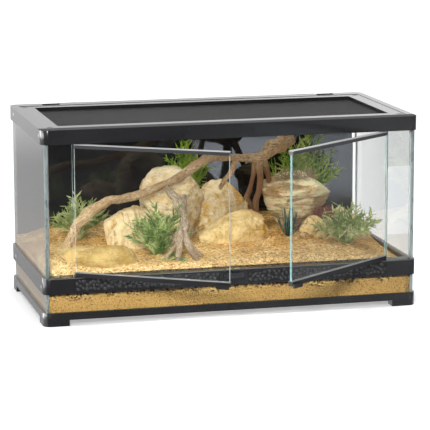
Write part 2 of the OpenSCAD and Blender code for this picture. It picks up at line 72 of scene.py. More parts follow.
MM = 0.001
MM_IN_METRE = 1000
# the doors' pins, and how far the left (-1) and the right (1) door stand open
PIN_X, PIN_Y = 0.246, -0.146
DOOR_ANGLES = {-1: math.radians(32), 1: math.radians(37)}
# the door glass as drawn from its pin: its low and its high corner
DOOR_PANE = ((-0.003, -0.002, 0.0785), (0.2445, 0.002, 0.278))
FULL_TURN = 6.283
# what each leaf or stem turns on from the last, in radians and as a part of a turn
GOLDEN_ANGLE = 2.399
GOLDEN_TURN = 0.382


# ---------------------------------------------------------------- helpers

def add_object(name, mesh, materials=()):
    """A new object in the scene, with its materials in their order."""
    obj = bpy.data.objects.new(name, mesh)
    bpy.context.scene.collection.objects.link(obj)
    for m in materials:
        obj.data.materials.append(m)
    return obj


def plain_mesh(bm, name):
    """Makes a mesh of what was built, and lets go of the rest."""
    mesh = bpy.data.meshes.new(name)
    bm.to_mesh(mesh)
    bm.free()
    return mesh


def finish_bmesh(bm, name, smooth=True):
    """Joins what touches, turns the faces outwards and gives the mesh back."""
    bmesh.ops.remove_doubles(bm, verts=bm.verts, dist=1e-6)
    bmesh.ops.recalc_face_normals(bm, faces=bm.faces)
    mesh = plain_mesh(bm, name)
    for p in mesh.polygons:
        p.use_smooth = smooth
    return mesh


def spaced(start, length, steps):
    """Evenly spaced places from start over a length, with both ends."""
    return [start + length * i / steps for i in range(steps + 1)]


def sheet(bm, across, along, point):
    """A grid of faces with a corner at point(a, b) for each place across and along."""
    rows = [[bm.verts.new(point(a, b)) for a in across] for b in along]
    for low, high in zip(rows, rows[1:]):
        for k in range(len(low) - 1):
            bm.faces.new((low[k], low[k + 1], high[k + 1], high[k]))
    return rows


def loft(bm, rings, uv=None):
    """Joins rings of points into a closed tube; uv(i, k) may give each corner its place."""
    count = len(rings[0])
    verts = [[bm.verts.new(p) for p in ring] for ring in rings]
    layer = bm.loops.layers.uv.verify() if uv else None
    for i in range(len(rings) - 1):
        for k in range(count):
            n = (k + 1) % count
            face = bm.faces.new((verts[i][k], verts[i][n], verts[i + 1][n], verts[i + 1][k]))
            if layer:
                corners = ((i, k), (i, k + 1), (i + 1, k + 1), (i + 1, k))
                for loop, (a, b) in zip(face.loops, corners):
                    loop[layer].uv = uv(a, b)
    for row, i in ((verts[0], 0), (verts[-1], len(rings) - 1)):
        pole = bm.verts.new(sum((v.co for v in row), Vector()) / count)
        for k in range(count):
            face = bm.faces.new((row[k], row[(k + 1) % count], pole))
            if layer:
                for loop, b in zip(face.loops, (k, k + 1, k + 0.5)):
                    loop[layer].uv = uv(i, b)


def curve_through(points, steps):
    """A smooth curve through points of any length, sampled steps times a span."""
    pts = [tuple(p) for p in points]
    pts = [pts[0]] + pts + [pts[-1]]
    out = []
    for i in range(1, len(pts) - 2):
        for s in range(steps):
            t = s / steps
            out.append(tuple(
                0.5 * (2 * b + (c - a) * t + (2 * a - 5 * b + 4 * c - d) * t * t
                       + (3 * b - a - 3 * c + d) * t ** 3)
                for a, b, c, d in zip(pts[i - 1], pts[i], pts[i + 1], pts[i + 2])))
    out.append(pts[-2])
    return out


def fractal(p, octaves, rough):
    """Noise at p with ever finer and weaker octaves added."""
    total, gain, scale = 0.0, 1.0, 1.0
    for _ in range(octaves):
        total += gain * noise.noise(p * scale)
        gain *= rough
        scale *= 2.1
    return total


def smoothstep(a, b, x):
    """0 up to a and 1 from b on, with a soft rise between them."""
    t = min(1.0, max(0.0, (x - a) / (b - a)))
    return t * t * (3 - 2 * t)


def within(value, middle, half):
    """The value, held to half a width on each side of the middle."""
    return min(max(value, middle - half), middle + half)


def feed(links, socket, value):
    """Links a socket to another one, or writes a plain value into it."""
    if isinstance(value, bpy.types.NodeSocket):
        links.new(value, socket)
    else:
        socket.default_value = value


def calc(nt, op, a, b=0.0):
    """One step of arithmetic in a shader's nodes; a and b are numbers or sockets."""
    n = nt.nodes.new("ShaderNodeMath")
    n.operation = op
    feed(nt.links, n.inputs[0], a)
    feed(nt.links, n.inputs[1], b)
    return n.outputs[0]


def remap(nt, value, low, high, out_low, out_high, how="LINEAR"):
    """Takes low to high over to out_low to out_high, and goes no further at the ends."""
    n = nt.nodes.new("ShaderNodeMapRange")
    n.interpolation_type = how
    for i, v in enumerate((value, low, high, out_low, out_high)):
        feed(nt.links, n.inputs[i], v)
    return n.outputs[0]


# ---------------------------------------------------------------- materials

class Finish:
    """A node material on one Principled shader, built up with short calls."""

    def __init__(self, name, colour, rough=0.5, metallic=0.0, **sockets):
        self.mat = bpy.data.materials.new(name)
        self.mat.use_nodes = True
        self.nt = self.mat.node_tree
        self.shader = self.nt.nodes["Principled BSDF"]
        self.out = self.nt.nodes["Material Output"]
        self.shader.inputs["Base Color"].default_value = (*colour, 1)
        self.shader.inputs["Roughness"].default_value = rough
        self.shader.inputs["Metallic"].default_value = metallic
        for key, value in sockets.items():
            self.shader.inputs[key.replace("_", " ")].default_value = value
        self.coords = self.nt.nodes.new("ShaderNodeTexCoord")

    def place(self, scale=(1, 1, 1), turn=(0, 0, 0), source="Object"):
        """Places on the piece, stretched and turned, for a pattern to read."""
        m = self.nt.nodes.new("ShaderNodeMapping")
        m.inputs["Scale"].default_value = scale
        m.inputs["Rotation"].default_value = turn
        self.nt.links.new(self.coords.outputs[source], m.inputs["Vector"])
        return m.outputs["Vector"]

    def along(self, axis):
        """How far along one axis of the piece's own space."""
        split = self.nt.nodes.new("ShaderNodeSeparateXYZ")
        self.nt.links.new(self.coords.outputs["Object"], split.inputs[0])
        return split.outputs[axis]

    def noise(self, scale, detail=3.0, rough=0.55, at=None, warp=0.0):
        n = self.nt.nodes.new("ShaderNodeTexNoise")
        n.inputs["Scale"].default_value = scale
        n.inputs["Detail"].default_value = detail
        n.inputs["Roughness"].default_value = rough
        n.inputs["Distortion"].default_value = warp
        self.nt.links.new(at or self.coords.outputs["Object"], n.inputs["Vector"])
        return n.outputs["Fac"]

    def cells(self, scale, out="Distance"):
        """The distance from the middle of each cell, or the cell's own random colour."""
        n = self.nt.nodes.new("ShaderNodeTexVoronoi")
        n.inputs["Scale"].default_value = scale
        self.nt.links.new(self.coords.outputs["Object"], n.inputs["Vector"])
        return n.outputs[out]

    def height(self, low, high):
        """0 below low and 1 above high, along the piece's own Z."""
        return self.span(self.along("Z"), low, high)

    def line(self, low, high, fade=0.1 * MM):
        """1 in a thin level band between low and high, fading at both sides."""
        return self.math("MULTIPLY", self.height(low - fade, low + fade),
                         self.math("SUBTRACT", 1.0, self.height(high - fade, high + fade)))

    def span(self, value, low, high, out_low=0.0, out_high=1.0):
        return remap(self.nt, value, low, high, out_low, out_high)

    def math(self, op, a, b=0.0):
        return calc(self.nt, op, a, b)

    def ramp(self, value, *stops):
        """stops are (place, colour) in rising order."""
        r = self.nt.nodes.new("ShaderNodeValToRGB")
        e = r.color_ramp.elements
        while len(e) < len(stops):
            e.new(0.5)
        for item, (pos, colour) in zip(e, stops):
            item.position = pos
            item.color = (*colour, 1)
        self.nt.links.new(value, r.inputs[0])
        return r.outputs["Color"]

    def mix(self, factor, a, b, how="MIX"):
        """a where the factor is 0 and b where it is 1; each is a colour or a socket."""
        m = self.nt.nodes.new("ShaderNodeMix")
        m.data_type = "RGBA"
        m.blend_type = how
        feed(self.nt.links, m.inputs[0], factor)
        # the node's colour sockets come after those for numbers and vectors
        for i, v in ((6, a), (7, b)):
            feed(self.nt.links, m.inputs[i], (*v, 1) if isinstance(v, tuple) else v)
        return m.outputs[2]

    def colour(self, value):
        self.nt.links.new(value, self.shader.inputs["Base Color"])

    def roughness(self, value, low, high):
        """The middle of a noise, 0.3 to 0.7, drives the roughness from low to high."""
        self.nt.links.new(self.span(value, 0.3, 0.7, low, high), self.shader.inputs["Roughness"])

    def bump(self, *layers):
        """layers are (value, depth in metres), coarse first."""
        last = None
        for value, depth in layers:
            b = self.nt.nodes.new("ShaderNodeBump")
            b.inputs["Strength"].default_value = 1.0
            b.inputs["Distance"].default_value = depth
            self.nt.links.new(value, b.inputs["Height"])
            if last:
                self.nt.links.new(last, b.inputs["Normal"])
            last = b.outputs["Normal"]
        self.nt.links.new(last, self.shader.inputs["Normal"])
        return self

    def lets_lamps_through(self, tint):
        """Shadow rays pass the glass, so that lamps light what is behind it."""
        path = self.nt.nodes.new("ShaderNodeLightPath")
        clear = self.nt.nodes.new("ShaderNodeBsdfTransparent")
        clear.inputs["Color"].default_value = (*tint, 1)
        both = self.nt.nodes.new("ShaderNodeMixShader")
        self.nt.links.new(path.outputs["Is Shadow Ray"], both.inputs[0])
        self.nt.links.new(self.shader.outputs[0], both.inputs[1])
        self.nt.links.new(clear.outputs[0], both.inputs[2])
        self.nt.links.new(both.outputs[0], self.out.inputs["Surface"])
        return self


# the materials made so far
FINISHES = {}


def finish(name):
    """The material that MAKERS holds under a name, made when first asked for."""
    if name not in FINISHES:
        FINISHES[name] = MAKERS[name]().mat
    return FINISHES[name]


def satin_moulding(name="Satin black moulding", tone=1.25, rough=0.19, edges=(), edge_highlight=0.16,
                   shine=0.5):
    """edges are levels (low, high) of paler lines along the piece, painted highlights on its edges."""
    f = Finish(name, (0.012, 0.012, 0.012), rough, IOR=1.55, Specular_IOR_Level=shine)
    broad, grain = f.noise(9, 2), f.noise(1500, 2)
    colour = f.ramp(broad, (0.3, (0.011 * tone, 0.011 * tone, 0.012 * tone)),
                    (0.7, (0.017 * tone, 0.017 * tone, 0.019 * tone)))
    # the paler grey in each level band is a painted highlight along an edge
    for low, high in edges:
        colour = f.mix(f.line(low, high), colour, (edge_highlight, edge_highlight, edge_highlight))
    f.colour(colour)
    f.roughness(grain, rough - 0.04, rough + 0.06)
    return f.bump((grain, 0.000015))


def top_frame_moulding():
    """The top of the front rim is worn matt, the rest has the satin of the other mouldings."""
    f = satin_moulding("Top frame moulding")
    front_rim = f.span(f.along("Y"), -0.1275, -0.1255, 1.0, 0.0)
    top_face = f.height(0.3034, 0.3038)
    matt = f.math("MULTIPLY", front_rim, top_face)
    f.nt.links.new(f.span(matt, 0.0, 1.0, 0.2, 0.95), f.shader.inputs["Roughness"])
    return f


def pebbled_moulding():
    f = Finish("Pebbled black moulding", (0.05, 0.05, 0.05), 0.3)
    grain = f.noise(1100, 3)
    f.colour(f.ramp(f.noise(160, 2), (0.3, (0.026, 0.026, 0.028)), (0.7, (0.052, 0.052, 0.055))))
    f.roughness(grain, 0.24, 0.36)
    return f.bump((grain, 0.00004))


def gloss_black_back():
    f = Finish("Polished black back", (0.012, 0.013, 0.016), 0.05, IOR=1.8)
    smear = f.noise(14, 3, at=f.place((1, 1, 0.4)))
    f.colour(f.ramp(smear, (0.3, (0.012, 0.012, 0.014)), (0.75, (0.018, 0.019, 0.023))))
    f.roughness(smear, 0.03, 0.08)
    return f.bump((f.noise(5, 1), 0.0001))


def clear_pane():
    f = Finish("Clear float glass", (0.985, 0.997, 0.994), 0.0, Transmission_Weight=1.0, IOR=1.45)
    film = f.noise(30, 3)
    f.roughness(film, 0.0, 0.012)
    return f.lets_lamps_through((0.94, 0.965, 0.96))


def pane_edge(name="Green cut edge of glass", deep=(0.2, 0.5, 0.48), pale=(0.5, 0.78, 0.75)):
    f = Finish(name, pale, 0.3, Transmission_Weight=0.45, IOR=1.45)
    ripple = f.noise(90, 3, at=f.place((1, 1, 0.3)))
    f.colour(f.ramp(ripple, (0.3, deep), (0.7, pale)))
    f.roughness(ripple, 0.2, 0.4)
    return f


def silicone():
    f = Finish("Clear silicone seam", (0.75, 0.78, 0.78), 0.3, Transmission_Weight=0.6, IOR=1.41)
    f.colour(f.ramp(f.noise(120, 2), (0.3, (0.66, 0.69, 0.7)), (0.7, (0.85, 0.87, 0.87))))
    return f.bump((f.noise(300, 2), 0.0001))


def bright_steel():
    f = Finish("Brushed steel", (0.62, 0.62, 0.64), 0.28, 1.0)
    lines = f.noise(900, 3, at=f.place((1, 8, 1)))
    f.colour(f.ramp(lines, (0.3, (0.5, 0.5, 0.52)), (0.7, (0.72, 0.72, 0.74))))
    f.roughness(lines, 0.2, 0.38)
    return f.bump((lines, 0.00002))


def black_wire():
    f = Finish("Black coated wire", (0.012, 0.012, 0.012), 0.5)
    f.colour(f.ramp(f.noise(400, 2), (0.3, (0.008, 0.008, 0.008)), (0.7, (0.02, 0.02, 0.02))))
    return f.bump((f.noise(3000, 2), 0.00002))


def golden_sand():
    f = Finish("Golden sand", (0.7, 0.48, 0.2), 0.92, Specular_IOR_Level=0.2)
    grain, coarse = f.cells(620, out="Color"), f.cells(330, out="Color")
    base = f.ramp(f.noise(22, 4), (0.35, (0.6, 0.36, 0.12)), (0.5, (0.8, 0.53, 0.21)),
                  (0.65, (0.92, 0.72, 0.4)))
    # the sand is painted paler toward the front pane: painted light
    front_painted_light = f.span(f.along("Y"), -0.12, -0.02, 0.5, 0.0)
    base = f.mix(front_painted_light, base, (0.97, 0.8, 0.5))

    def channels(value):
        """The three random numbers that a cell's colour holds."""
        parts = f.nt.nodes.new("ShaderNodeSeparateColor")
        f.nt.links.new(value, parts.inputs[0])
        return parts.outputs

    small, large = channels(grain), channels(coarse)
    speck = f.ramp(small[0], (0.0, (0.34, 0.22, 0.12)), (0.14, (0.75, 0.66, 0.5)),
                   (0.8, (1.0, 0.96, 0.9)), (1.0, (1.2, 1.17, 1.1)))
    lump = f.ramp(large[0], (0.0, (0.42, 0.3, 0.2)), (0.2, (0.8, 0.72, 0.6)),
                  (0.7, (1.0, 0.98, 0.95)), (1.0, (1.3, 1.3, 1.25)))
    top = f.mix(0.9, f.mix(0.9, base, speck, "MULTIPLY"), lump, "MULTIPLY")
    # the layer pressed against the lower panes, with coarse dark grains near its top
    dark = f.ramp(large[1], (0.0, (0.035, 0.017, 0.008)), (0.33, (0.12, 0.06, 0.02)),
                  (0.42, (0.4, 0.24, 0.08)), (1.0, (0.62, 0.41, 0.15)))
    low = f.ramp(small[2], (0.0, (0.2, 0.1, 0.03)), (0.16, (0.42, 0.24, 0.07)),
                 (1.0, (0.5, 0.31, 0.1)))
    wavy = f.math("ADD", f.height(0.036, 0.047), f.span(f.noise(36, 3), 0.3, 0.7, -0.9, 0.6))
    pressed = f.mix(f.span(wavy, 0.2, 0.8), low, dark)
    f.colour(f.mix(f.height(0.052, 0.06), pressed, top))
    return f.bump((f.noise(160, 3), 0.0016), (f.cells(330), 0.0012), (f.cells(620), 0.0008),
                  (f.noise(900, 2), 0.0003))


def sandstone(name, cream, ochre, stain, strata=None, cracks=0.5, pitted=0.4):
    """strata is (scale of the mapping, turn, depth, strength) of the rock's own layers;
    cracks and pitted are how dark its cracks and its small pits are."""
    f = Finish(name, ochre, 0.85, Specular_IOR_Level=0.3)
    patches = f.noise(17, 4, 0.55, warp=0.8)
    mottled = f.noise(60, 5, 0.65)
    spots = f.noise(150, 4, 0.6)
    blend = f.math("ADD", f.math("MULTIPLY", patches, 0.55), f.math("MULTIPLY", mottled, 0.45))
    pale = tuple(min(0.95, c * 1.16 + 0.03) for c in cream)
    colour = f.ramp(blend, (0.36, stain), (0.42, ochre), (0.475, cream), (0.54, pale))
    layers = [(f.noise(34, 7, 0.7), 0.009), (f.noise(170, 5, 0.68), 0.003)]
    if strata:
        scale, turn, depth, strength = strata
        seams = f.noise(1.0, 5, 0.62, at=f.place(scale, turn), warp=0.45)
        colour = f.mix(f.span(seams, 0.4, 0.48, strength, 0.0), colour, stain)
        colour = f.mix(f.span(seams, 0.53, 0.6, 0.0, strength), colour, pale)
        layers.insert(1, (seams, depth))
    line = f.noise(19, 4, 0.55, at=f.place((1, 1, 1.7)), warp=1.2)
    crack = f.span(f.math("ABSOLUTE", f.math("SUBTRACT", line, 0.5)), 0.0, 0.02, 1.0, 0.0)
    crack = f.math("MULTIPLY", crack, f.span(patches, 0.45, 0.55, 1.0, 0.15))
    pits = f.span(spots, 0.3, 0.4, pitted, 0.0)
    colour = f.mix(f.math("MAXIMUM", f.math("MULTIPLY", crack, cracks), pits), colour,
                   tuple(c * 0.4 for c in stain))
    f.colour(colour)
    f.roughness(spots, 0.78, 0.95)
    return f.bump(*layers, (f.span(crack, 0.0, 1.0, 1.0, 0.0), 0.0008))


def weathered_wood(name="Weathered driftwood", dark=(0.13, 0.06, 0.02), mid=(0.52, 0.31, 0.14),
                   light=(0.82, 0.6, 0.34), pale=(0.92, 0.78, 0.54), low=None):
    """low, if given, is a darker colour painted on the hanging roots under the branch's right end, a
    painted shade.
    """
    f = Finish(name, mid, 0.75, Specular_IOR_Level=0.3)
    fibre = f.noise(7, 5, 0.62, at=f.place((10, 1.2, 1), source="UV"), warp=0.6)
    streak = f.noise(16, 4, 0.6, at=f.place((26, 1.5, 1), source="UV"))
    patch = f.noise(34, 4)
    colour = f.ramp(fibre, (0.36, dark), (0.44, mid), (0.54, light), (0.66, pale))
    colour = f.mix(f.span(patch, 0.5, 0.62, 0.0, 0.6), colour, mid)
    colour = f.mix(f.span(streak, 0.38, 0.47, 0.7, 0.0), colour, dark)
    if low:
        # the hanging roots below the branch's right end are painted darker: painted shade under the
        # branch
        shade_under_right_end = f.math("MULTIPLY", f.span(f.along("X"), 0.06, 0.08),
                                 f.span(f.along("Z"), 0.19, 0.215, 0.8, 0.0))
        colour = f.mix(shade_under_right_end, colour, low)
    knots = f.span(f.cells(30), 0.06, 0.18, 0.9, 0.0)
    f.colour(f.mix(knots, colour, tuple(c * 0.45 for c in dark)))
    f.roughness(fibre, 0.65, 0.85)
    return f.bump((patch, 0.003), (fibre, 0.0022), (streak, 0.001),
                  (f.span(knots, 0, 1, 1, 0), 0.0015))


def leaf_finish(name, dark, light, tip):
    f = Finish(name, light, 0.5, Specular_IOR_Level=0.4)
    tuft, vein = f.noise(45, 3), f.noise(420, 2)
    colour = f.ramp(tuft, (0.32, dark), (0.48, light), (0.66, tip))
    f.colour(f.mix(f.span(vein, 0.35, 0.7, 0.0, 0.4), colour, dark))
    f.roughness(vein, 0.42, 0.6)
    return f.bump((vein, 0.0002))


def fibre_finish(name, dark, light):
    f = Finish(name, light, 0.9)
    f.colour(f.ramp(f.noise(160, 3), (0.3, dark), (0.7, light)))
    return f.bump((f.noise(900, 2), 0.0001))


def studio_floor():
    f = Finish("Pale studio floor", (0.93, 0.93, 0.93), 0.7, Emission_Color=(1, 1, 1, 1),
               Emission_Strength=0.36)
    f.colour(f.ramp(f.noise(3, 2), (0.3, (0.925, 0.925, 0.925)), (0.7, (0.94, 0.94, 0.94))))
    return f


MAKERS = {
    "moulding": satin_moulding,
    "top_frame": top_frame_moulding,
    # the band's thin paler line at its top front edge is a painted highlight
    "band": lambda: satin_moulding("Band moulding", edges=((0.0738, 0.0748),), edge_highlight=0.12,
                                   shine=0.28),
    # the rails' thin paler lines at their top edges are painted highlights; the top rail's lighter tone
    # is painted light and the bottom rail's darker tone painted shade, on the same black plastic
    "top_rail": lambda: satin_moulding("Top rail", 1.9, 0.3, ((0.2801, 0.2812),), 0.4),
    "bottom_rail": lambda: satin_moulding("Bottom rail", 0.7, 0.36, ((0.0822, 0.0832),), 0.22,
                                          0.25),
    "insert": lambda: satin_moulding("Dark insert", 0.6, 0.4),
    "lid": lambda: satin_moulding("Lid moulding", 1.2, 0.18),
    "pebbled": pebbled_moulding,
    "back": gloss_black_back,
    "pane": clear_pane,
    "edge": pane_edge,
    # pale_edge: the left door's edge, the same glass painted paler, a painted highlight
    "pale_edge": lambda: pane_edge("Pale cut edge of glass", (0.55, 0.7, 0.68),
                                   (0.86, 0.93, 0.91)),
    "case_edge": lambda: pane_edge("Ground edge of a case pane", (0.2, 0.27, 0.27),
                                   (0.5, 0.58, 0.57)),
    "seam": silicone,
    "steel": bright_steel,
    "wire": black_wire,
    "sand": golden_sand,
    "stone_round": lambda: sandstone("Greyed cream sandstone", (0.84, 0.66, 0.4), (0.74, 0.5, 0.21),
                                     (0.48, 0.28, 0.1),
                                     ((12, 12, 58), (0.15, 0.2, 0), 0.005, 0.35), 0.25),
    "stone_striped": lambda: sandstone("Striped sandstone", (0.76, 0.58, 0.32), (0.68, 0.42, 0.13),
                                       (0.34, 0.18, 0.06),
                                       ((70, 14, 14), (0.0, 0.7, 0.3), 0.01, 0.8), 0.3),
    "stone_pale": lambda: sandstone("Pale sandstone", (0.82, 0.63, 0.36), (0.76, 0.46, 0.11),
                                    (0.46, 0.23, 0.06), ((46, 46, 16), (0, 0, 0), 0.006, 0.4), 0.4),
    "stone_gold": lambda: sandstone("Golden sandstone", (0.84, 0.6, 0.27), (0.74, 0.43, 0.08),
                                    (0.48, 0.23, 0.03), ((30, 30, 22), (0.3, 0.2, 0), 0.006, 0.4), 0.4),
    "stone_mound": lambda: sandstone("Veined yellow sandstone", (0.56, 0.38, 0.13), (0.48, 0.28, 0.06),
                                     (0.72, 0.57, 0.32), ((10, 40, 60), (0.5, 0.2, 0.4), 0.0025, 0.7),
                                     0.1, 0.1),
    "stone_pitted": lambda: sandstone("Pitted sandstone", (0.78, 0.56, 0.25), (0.64, 0.38, 0.09),
                                      (0.32, 0.14, 0.03), None, 0.9, 1.0),
    "stone_layered": lambda: sandstone("Layered sandstone", (0.94, 0.71, 0.4), (0.76, 0.45, 0.13),
                                       (0.3, 0.14, 0.04),
                                       ((12, 12, 62), (0.12, -0.09, 0), 0.012, 0.75), 0.35),
    # low is painted shade on the hanging roots under the branch's right end
    "wood": lambda: weathered_wood(low=(0.2, 0.08, 0.03)),
    "root_wood": lambda: weathered_wood("Bleached root wood", (0.09, 0.045, 0.02), (0.36, 0.22, 0.12),
                                        (0.72, 0.58, 0.42), (0.86, 0.76, 0.6)),
    "olive": lambda: leaf_finish("Olive sprigs", (0.11, 0.155, 0.035), (0.37, 0.44, 0.14),
                                 (0.84, 0.82, 0.47)),
    "blue_green": lambda: leaf_finish("Cool green sprigs", (0.055, 0.105, 0.025),
                                      (0.22, 0.32, 0.08), (0.62, 0.67, 0.29)),
    "bright": lambda: leaf_finish("Bright green sprigs", (0.14, 0.25, 0.02), (0.48, 0.7, 0.07),
                                  (0.85, 0.92, 0.22)),
    "yellow_green": lambda: leaf_finish("Yellow-green sprigs", (0.11, 0.2, 0.025),
                                        (0.41, 0.58, 0.09), (0.83, 0.85, 0.28)),
    "agave": lambda: leaf_finish("Waxy blue leaf", (0.012, 0.035, 0.028), (0.035, 0.085, 0.065),
                                 (0.12, 0.22, 0.17)),
    "red_moss": lambda: fibre_finish("Red-brown moss", (0.1, 0.022, 0.012), (0.36, 0.12, 0.07)),
    "dry_moss": lambda: fibre_finish("Dry moss", (0.15, 0.1, 0.045), (0.48, 0.38, 0.2)),
    "floor": studio_floor,
}


# ---------------------------------------------------------------- Geometry Nodes

class Tree:
    """A Geometry Nodes tree with named inputs, built with short calls."""

    def __init__(self, name, inputs):
        self.tree = bpy.data.node_groups.new(name, "GeometryNodeTree")
        face = self.tree.interface
        face.new_socket("Geometry", in_out="INPUT", socket_type="NodeSocketGeometry")
        face.new_socket("Geometry", in_out="OUTPUT", socket_type="NodeSocketGeometry")
        self.ids = {}
        for key, kind, value in inputs:
            item = face.new_socket(key, in_out="INPUT", socket_type="NodeSocket" + kind)
            if value is not None:
                item.default_value = value
            self.ids[key] = item.identifier
        self.start = self.tree.nodes.new("NodeGroupInput")
        self.end = self.tree.nodes.new("NodeGroupOutput")

    def input(self, key):
        return self.start.outputs[key]

    def node(self, kind, settings=(), **sockets):
        """Sockets go by name, or by number as i0, i1 and so on."""
        n = self.tree.nodes.new(kind)
        for key, value in dict(settings).items():
            setattr(n, key, value)
        for key, value in sockets.items():
            name = key.replace("_", " ")
            numbered = name[0] == "i" and name[1:].isdigit()
            self.feed(n.inputs[int(name[1:]) if numbered else name], value)
        return n

    def feed(self, socket, value):
        """A list holds the sockets that all go into one."""
        for v in value if isinstance(value, list) else [value]:
            feed(self.tree.links, socket, v)

    def calc(self, op, a, b=0.0):
        return self.node("ShaderNodeMath", {"operation": op}, i0=a, i1=b).outputs[0]

    def random(self, seed, low, high):
        """A random number for each point."""
        n = self.node("FunctionNodeRandomValue", {"data_type": "FLOAT"}, Seed=seed)
        self.feed(n.inputs[2], low)
        self.feed(n.inputs[3], high)
        return n.outputs[1]

    def turned(self, rotation, **angles):
        """A rotation turned on about its own axes."""
        by = self.node("ShaderNodeCombineXYZ", **angles)
        return self.node("FunctionNodeRotateRotation", {"rotation_space": "LOCAL"},
                         Rotation=rotation, Rotate_By=by.outputs[0]).outputs[0]

    def close(self, geometry):
        """Makes real what is repeated, gives it its finish and ends the tree."""
        real = self.node("GeometryNodeRealizeInstances", Geometry=geometry)
        dressed = self.node("GeometryNodeSetMaterial", Geometry=real.outputs[0],
                            Material=self.input("Finish"))
        self.tree.links.new(dressed.outputs[0], self.end.inputs[0])
        return self


# the trees made so far
TREES = {}


def grow(name, tree_key, mesh, finish_name, **values):
    """Runs a tree over a mesh and returns the result as a plain object."""
    if tree_key not in TREES:
        TREES[tree_key] = TREE_MAKERS[tree_key]()
    tree = TREES[tree_key]
    seedling = add_object(name + "_base", mesh)
    mod = seedling.modifiers.new("Growth", "NODES")
    mod.node_group = tree.tree
    mod[tree.ids["Finish"]] = finish(finish_name)
    for key, value in values.items():
        mod[tree.ids[key.replace("_", " ")]] = value
    seedling.update_tag()
    graph = bpy.context.evaluated_depsgraph_get()
    result = bpy.data.meshes.new_from_object(seedling.evaluated_get(graph), depsgraph=graph)
    result.name = name
    result.materials.clear()
    result.materials.append(finish(finish_name))
    for face in result.polygons:
        face.material_index = 0
    seedling.modifiers.remove(mod)
    bpy.data.objects.remove(seedling)
    if not len(result.polygons):
        raise RuntimeError(name + " came out empty")
    return add_object(name, result)


def tree_sprigs():
    """Stems along every edge line, with pointed leaves turned round them."""
    t = Tree("Leafy sprigs", [
        ("Leaf spacing", "Float", 0.0022), ("Leaf length", "Float", 0.009),
        ("Leaf width", "Float", 0.0012), ("Leaf tilt", "Float", 0.75),
        ("Stem radius", "Float", 0.0007), ("Seed", "Int", 3), ("Finish", "Material", None)])
    line = t.node("GeometryNodeMeshToCurve", Mesh=t.input("Geometry"))
    fine = t.node("GeometryNodeResampleCurve", {"mode": "LENGTH"}, Curve=line.outputs[0],
                  Length=t.input("Leaf spacing"))
    # one leaf: a square tube that swells and closes along a line, flattened
    axis = t.node("GeometryNodeCurvePrimitiveLine", End=(0, 0, 1))
    axis = t.node("GeometryNodeResampleCurve", {"mode": "COUNT"}, Curve=axis.outputs[0], Count=5)
    along = t.node("GeometryNodeSplineParameter").outputs["Factor"]
    swell = t.calc("MULTIPLY", t.calc("POWER", along, 0.6), t.calc("SUBTRACT", 1.02, along))
    width = t.calc("MULTIPLY", swell, 2.4)
    ring = t.node("GeometryNodeCurvePrimitiveCircle", Resolution=4, Radius=1.0)
    blade = t.node("GeometryNodeCurveToMesh", Curve=axis.outputs[0], Profile_Curve=ring.outputs[0],
                   Scale=width)
    size = t.node("ShaderNodeCombineXYZ", X=t.input("Leaf width"),
                  Y=t.calc("MULTIPLY", t.input("Leaf width"), 0.3), Z=t.input("Leaf length"))
    blade = t.node("GeometryNodeTransform", Geometry=blade.outputs[0], Scale=size.outputs[0])
    tangent = t.node("GeometryNodeInputTangent").outputs[0]
    lie = t.node("FunctionNodeAlignRotationToVector", {"axis": "Z"}, Vector=tangent)
    index = t.node("GeometryNodeInputIndex").outputs[0]
    jitter = t.random(t.input("Seed"), -0.5, 0.5)
    angle = t.calc("ADD", t.calc("MULTIPLY", index, GOLDEN_ANGLE), jitter)
    tilt = t.calc("ADD", t.input("Leaf tilt"), t.calc("MULTIPLY", jitter, 0.5))
    leaning = t.turned(t.turned(lie.outputs[0], Z=angle), X=tilt)
    vary = t.random(t.calc("ADD", t.input("Seed"), 7), 0.7, 1.2)
    leaves = t.node("GeometryNodeInstanceOnPoints", Points=fine.outputs[0],
                    Instance=blade.outputs[0], Rotation=leaning, Scale=vary)
    rod = t.node("GeometryNodeCurvePrimitiveCircle", Resolution=6, Radius=t.input("Stem radius"))
    stems = t.node("GeometryNodeCurveToMesh", Curve=line.outputs[0], Profile_Curve=rod.outputs[0],
                   Fill_Caps=True)
    both = t.node("GeometryNodeJoinGeometry", Geometry=[leaves.outputs[0], stems.outputs[0]])
    return t.close(both.outputs[0])


def tree_fibres():
    """Thin round fibres along every edge line."""
    t = Tree("Tangled fibres", [("Fibre radius", "Float", 0.0004), ("Finish", "Material", None)])
    line = t.node("GeometryNodeMeshToCurve", Mesh=t.input("Geometry"))
    rod = t.node("GeometryNodeCurvePrimitiveCircle", Resolution=5, Radius=t.input("Fibre radius"))
    body = t.node("GeometryNodeCurveToMesh", Curve=line.outputs[0], Profile_Curve=rod.outputs[0],
                  Fill_Caps=True)
    return t.close(body.outputs[0])


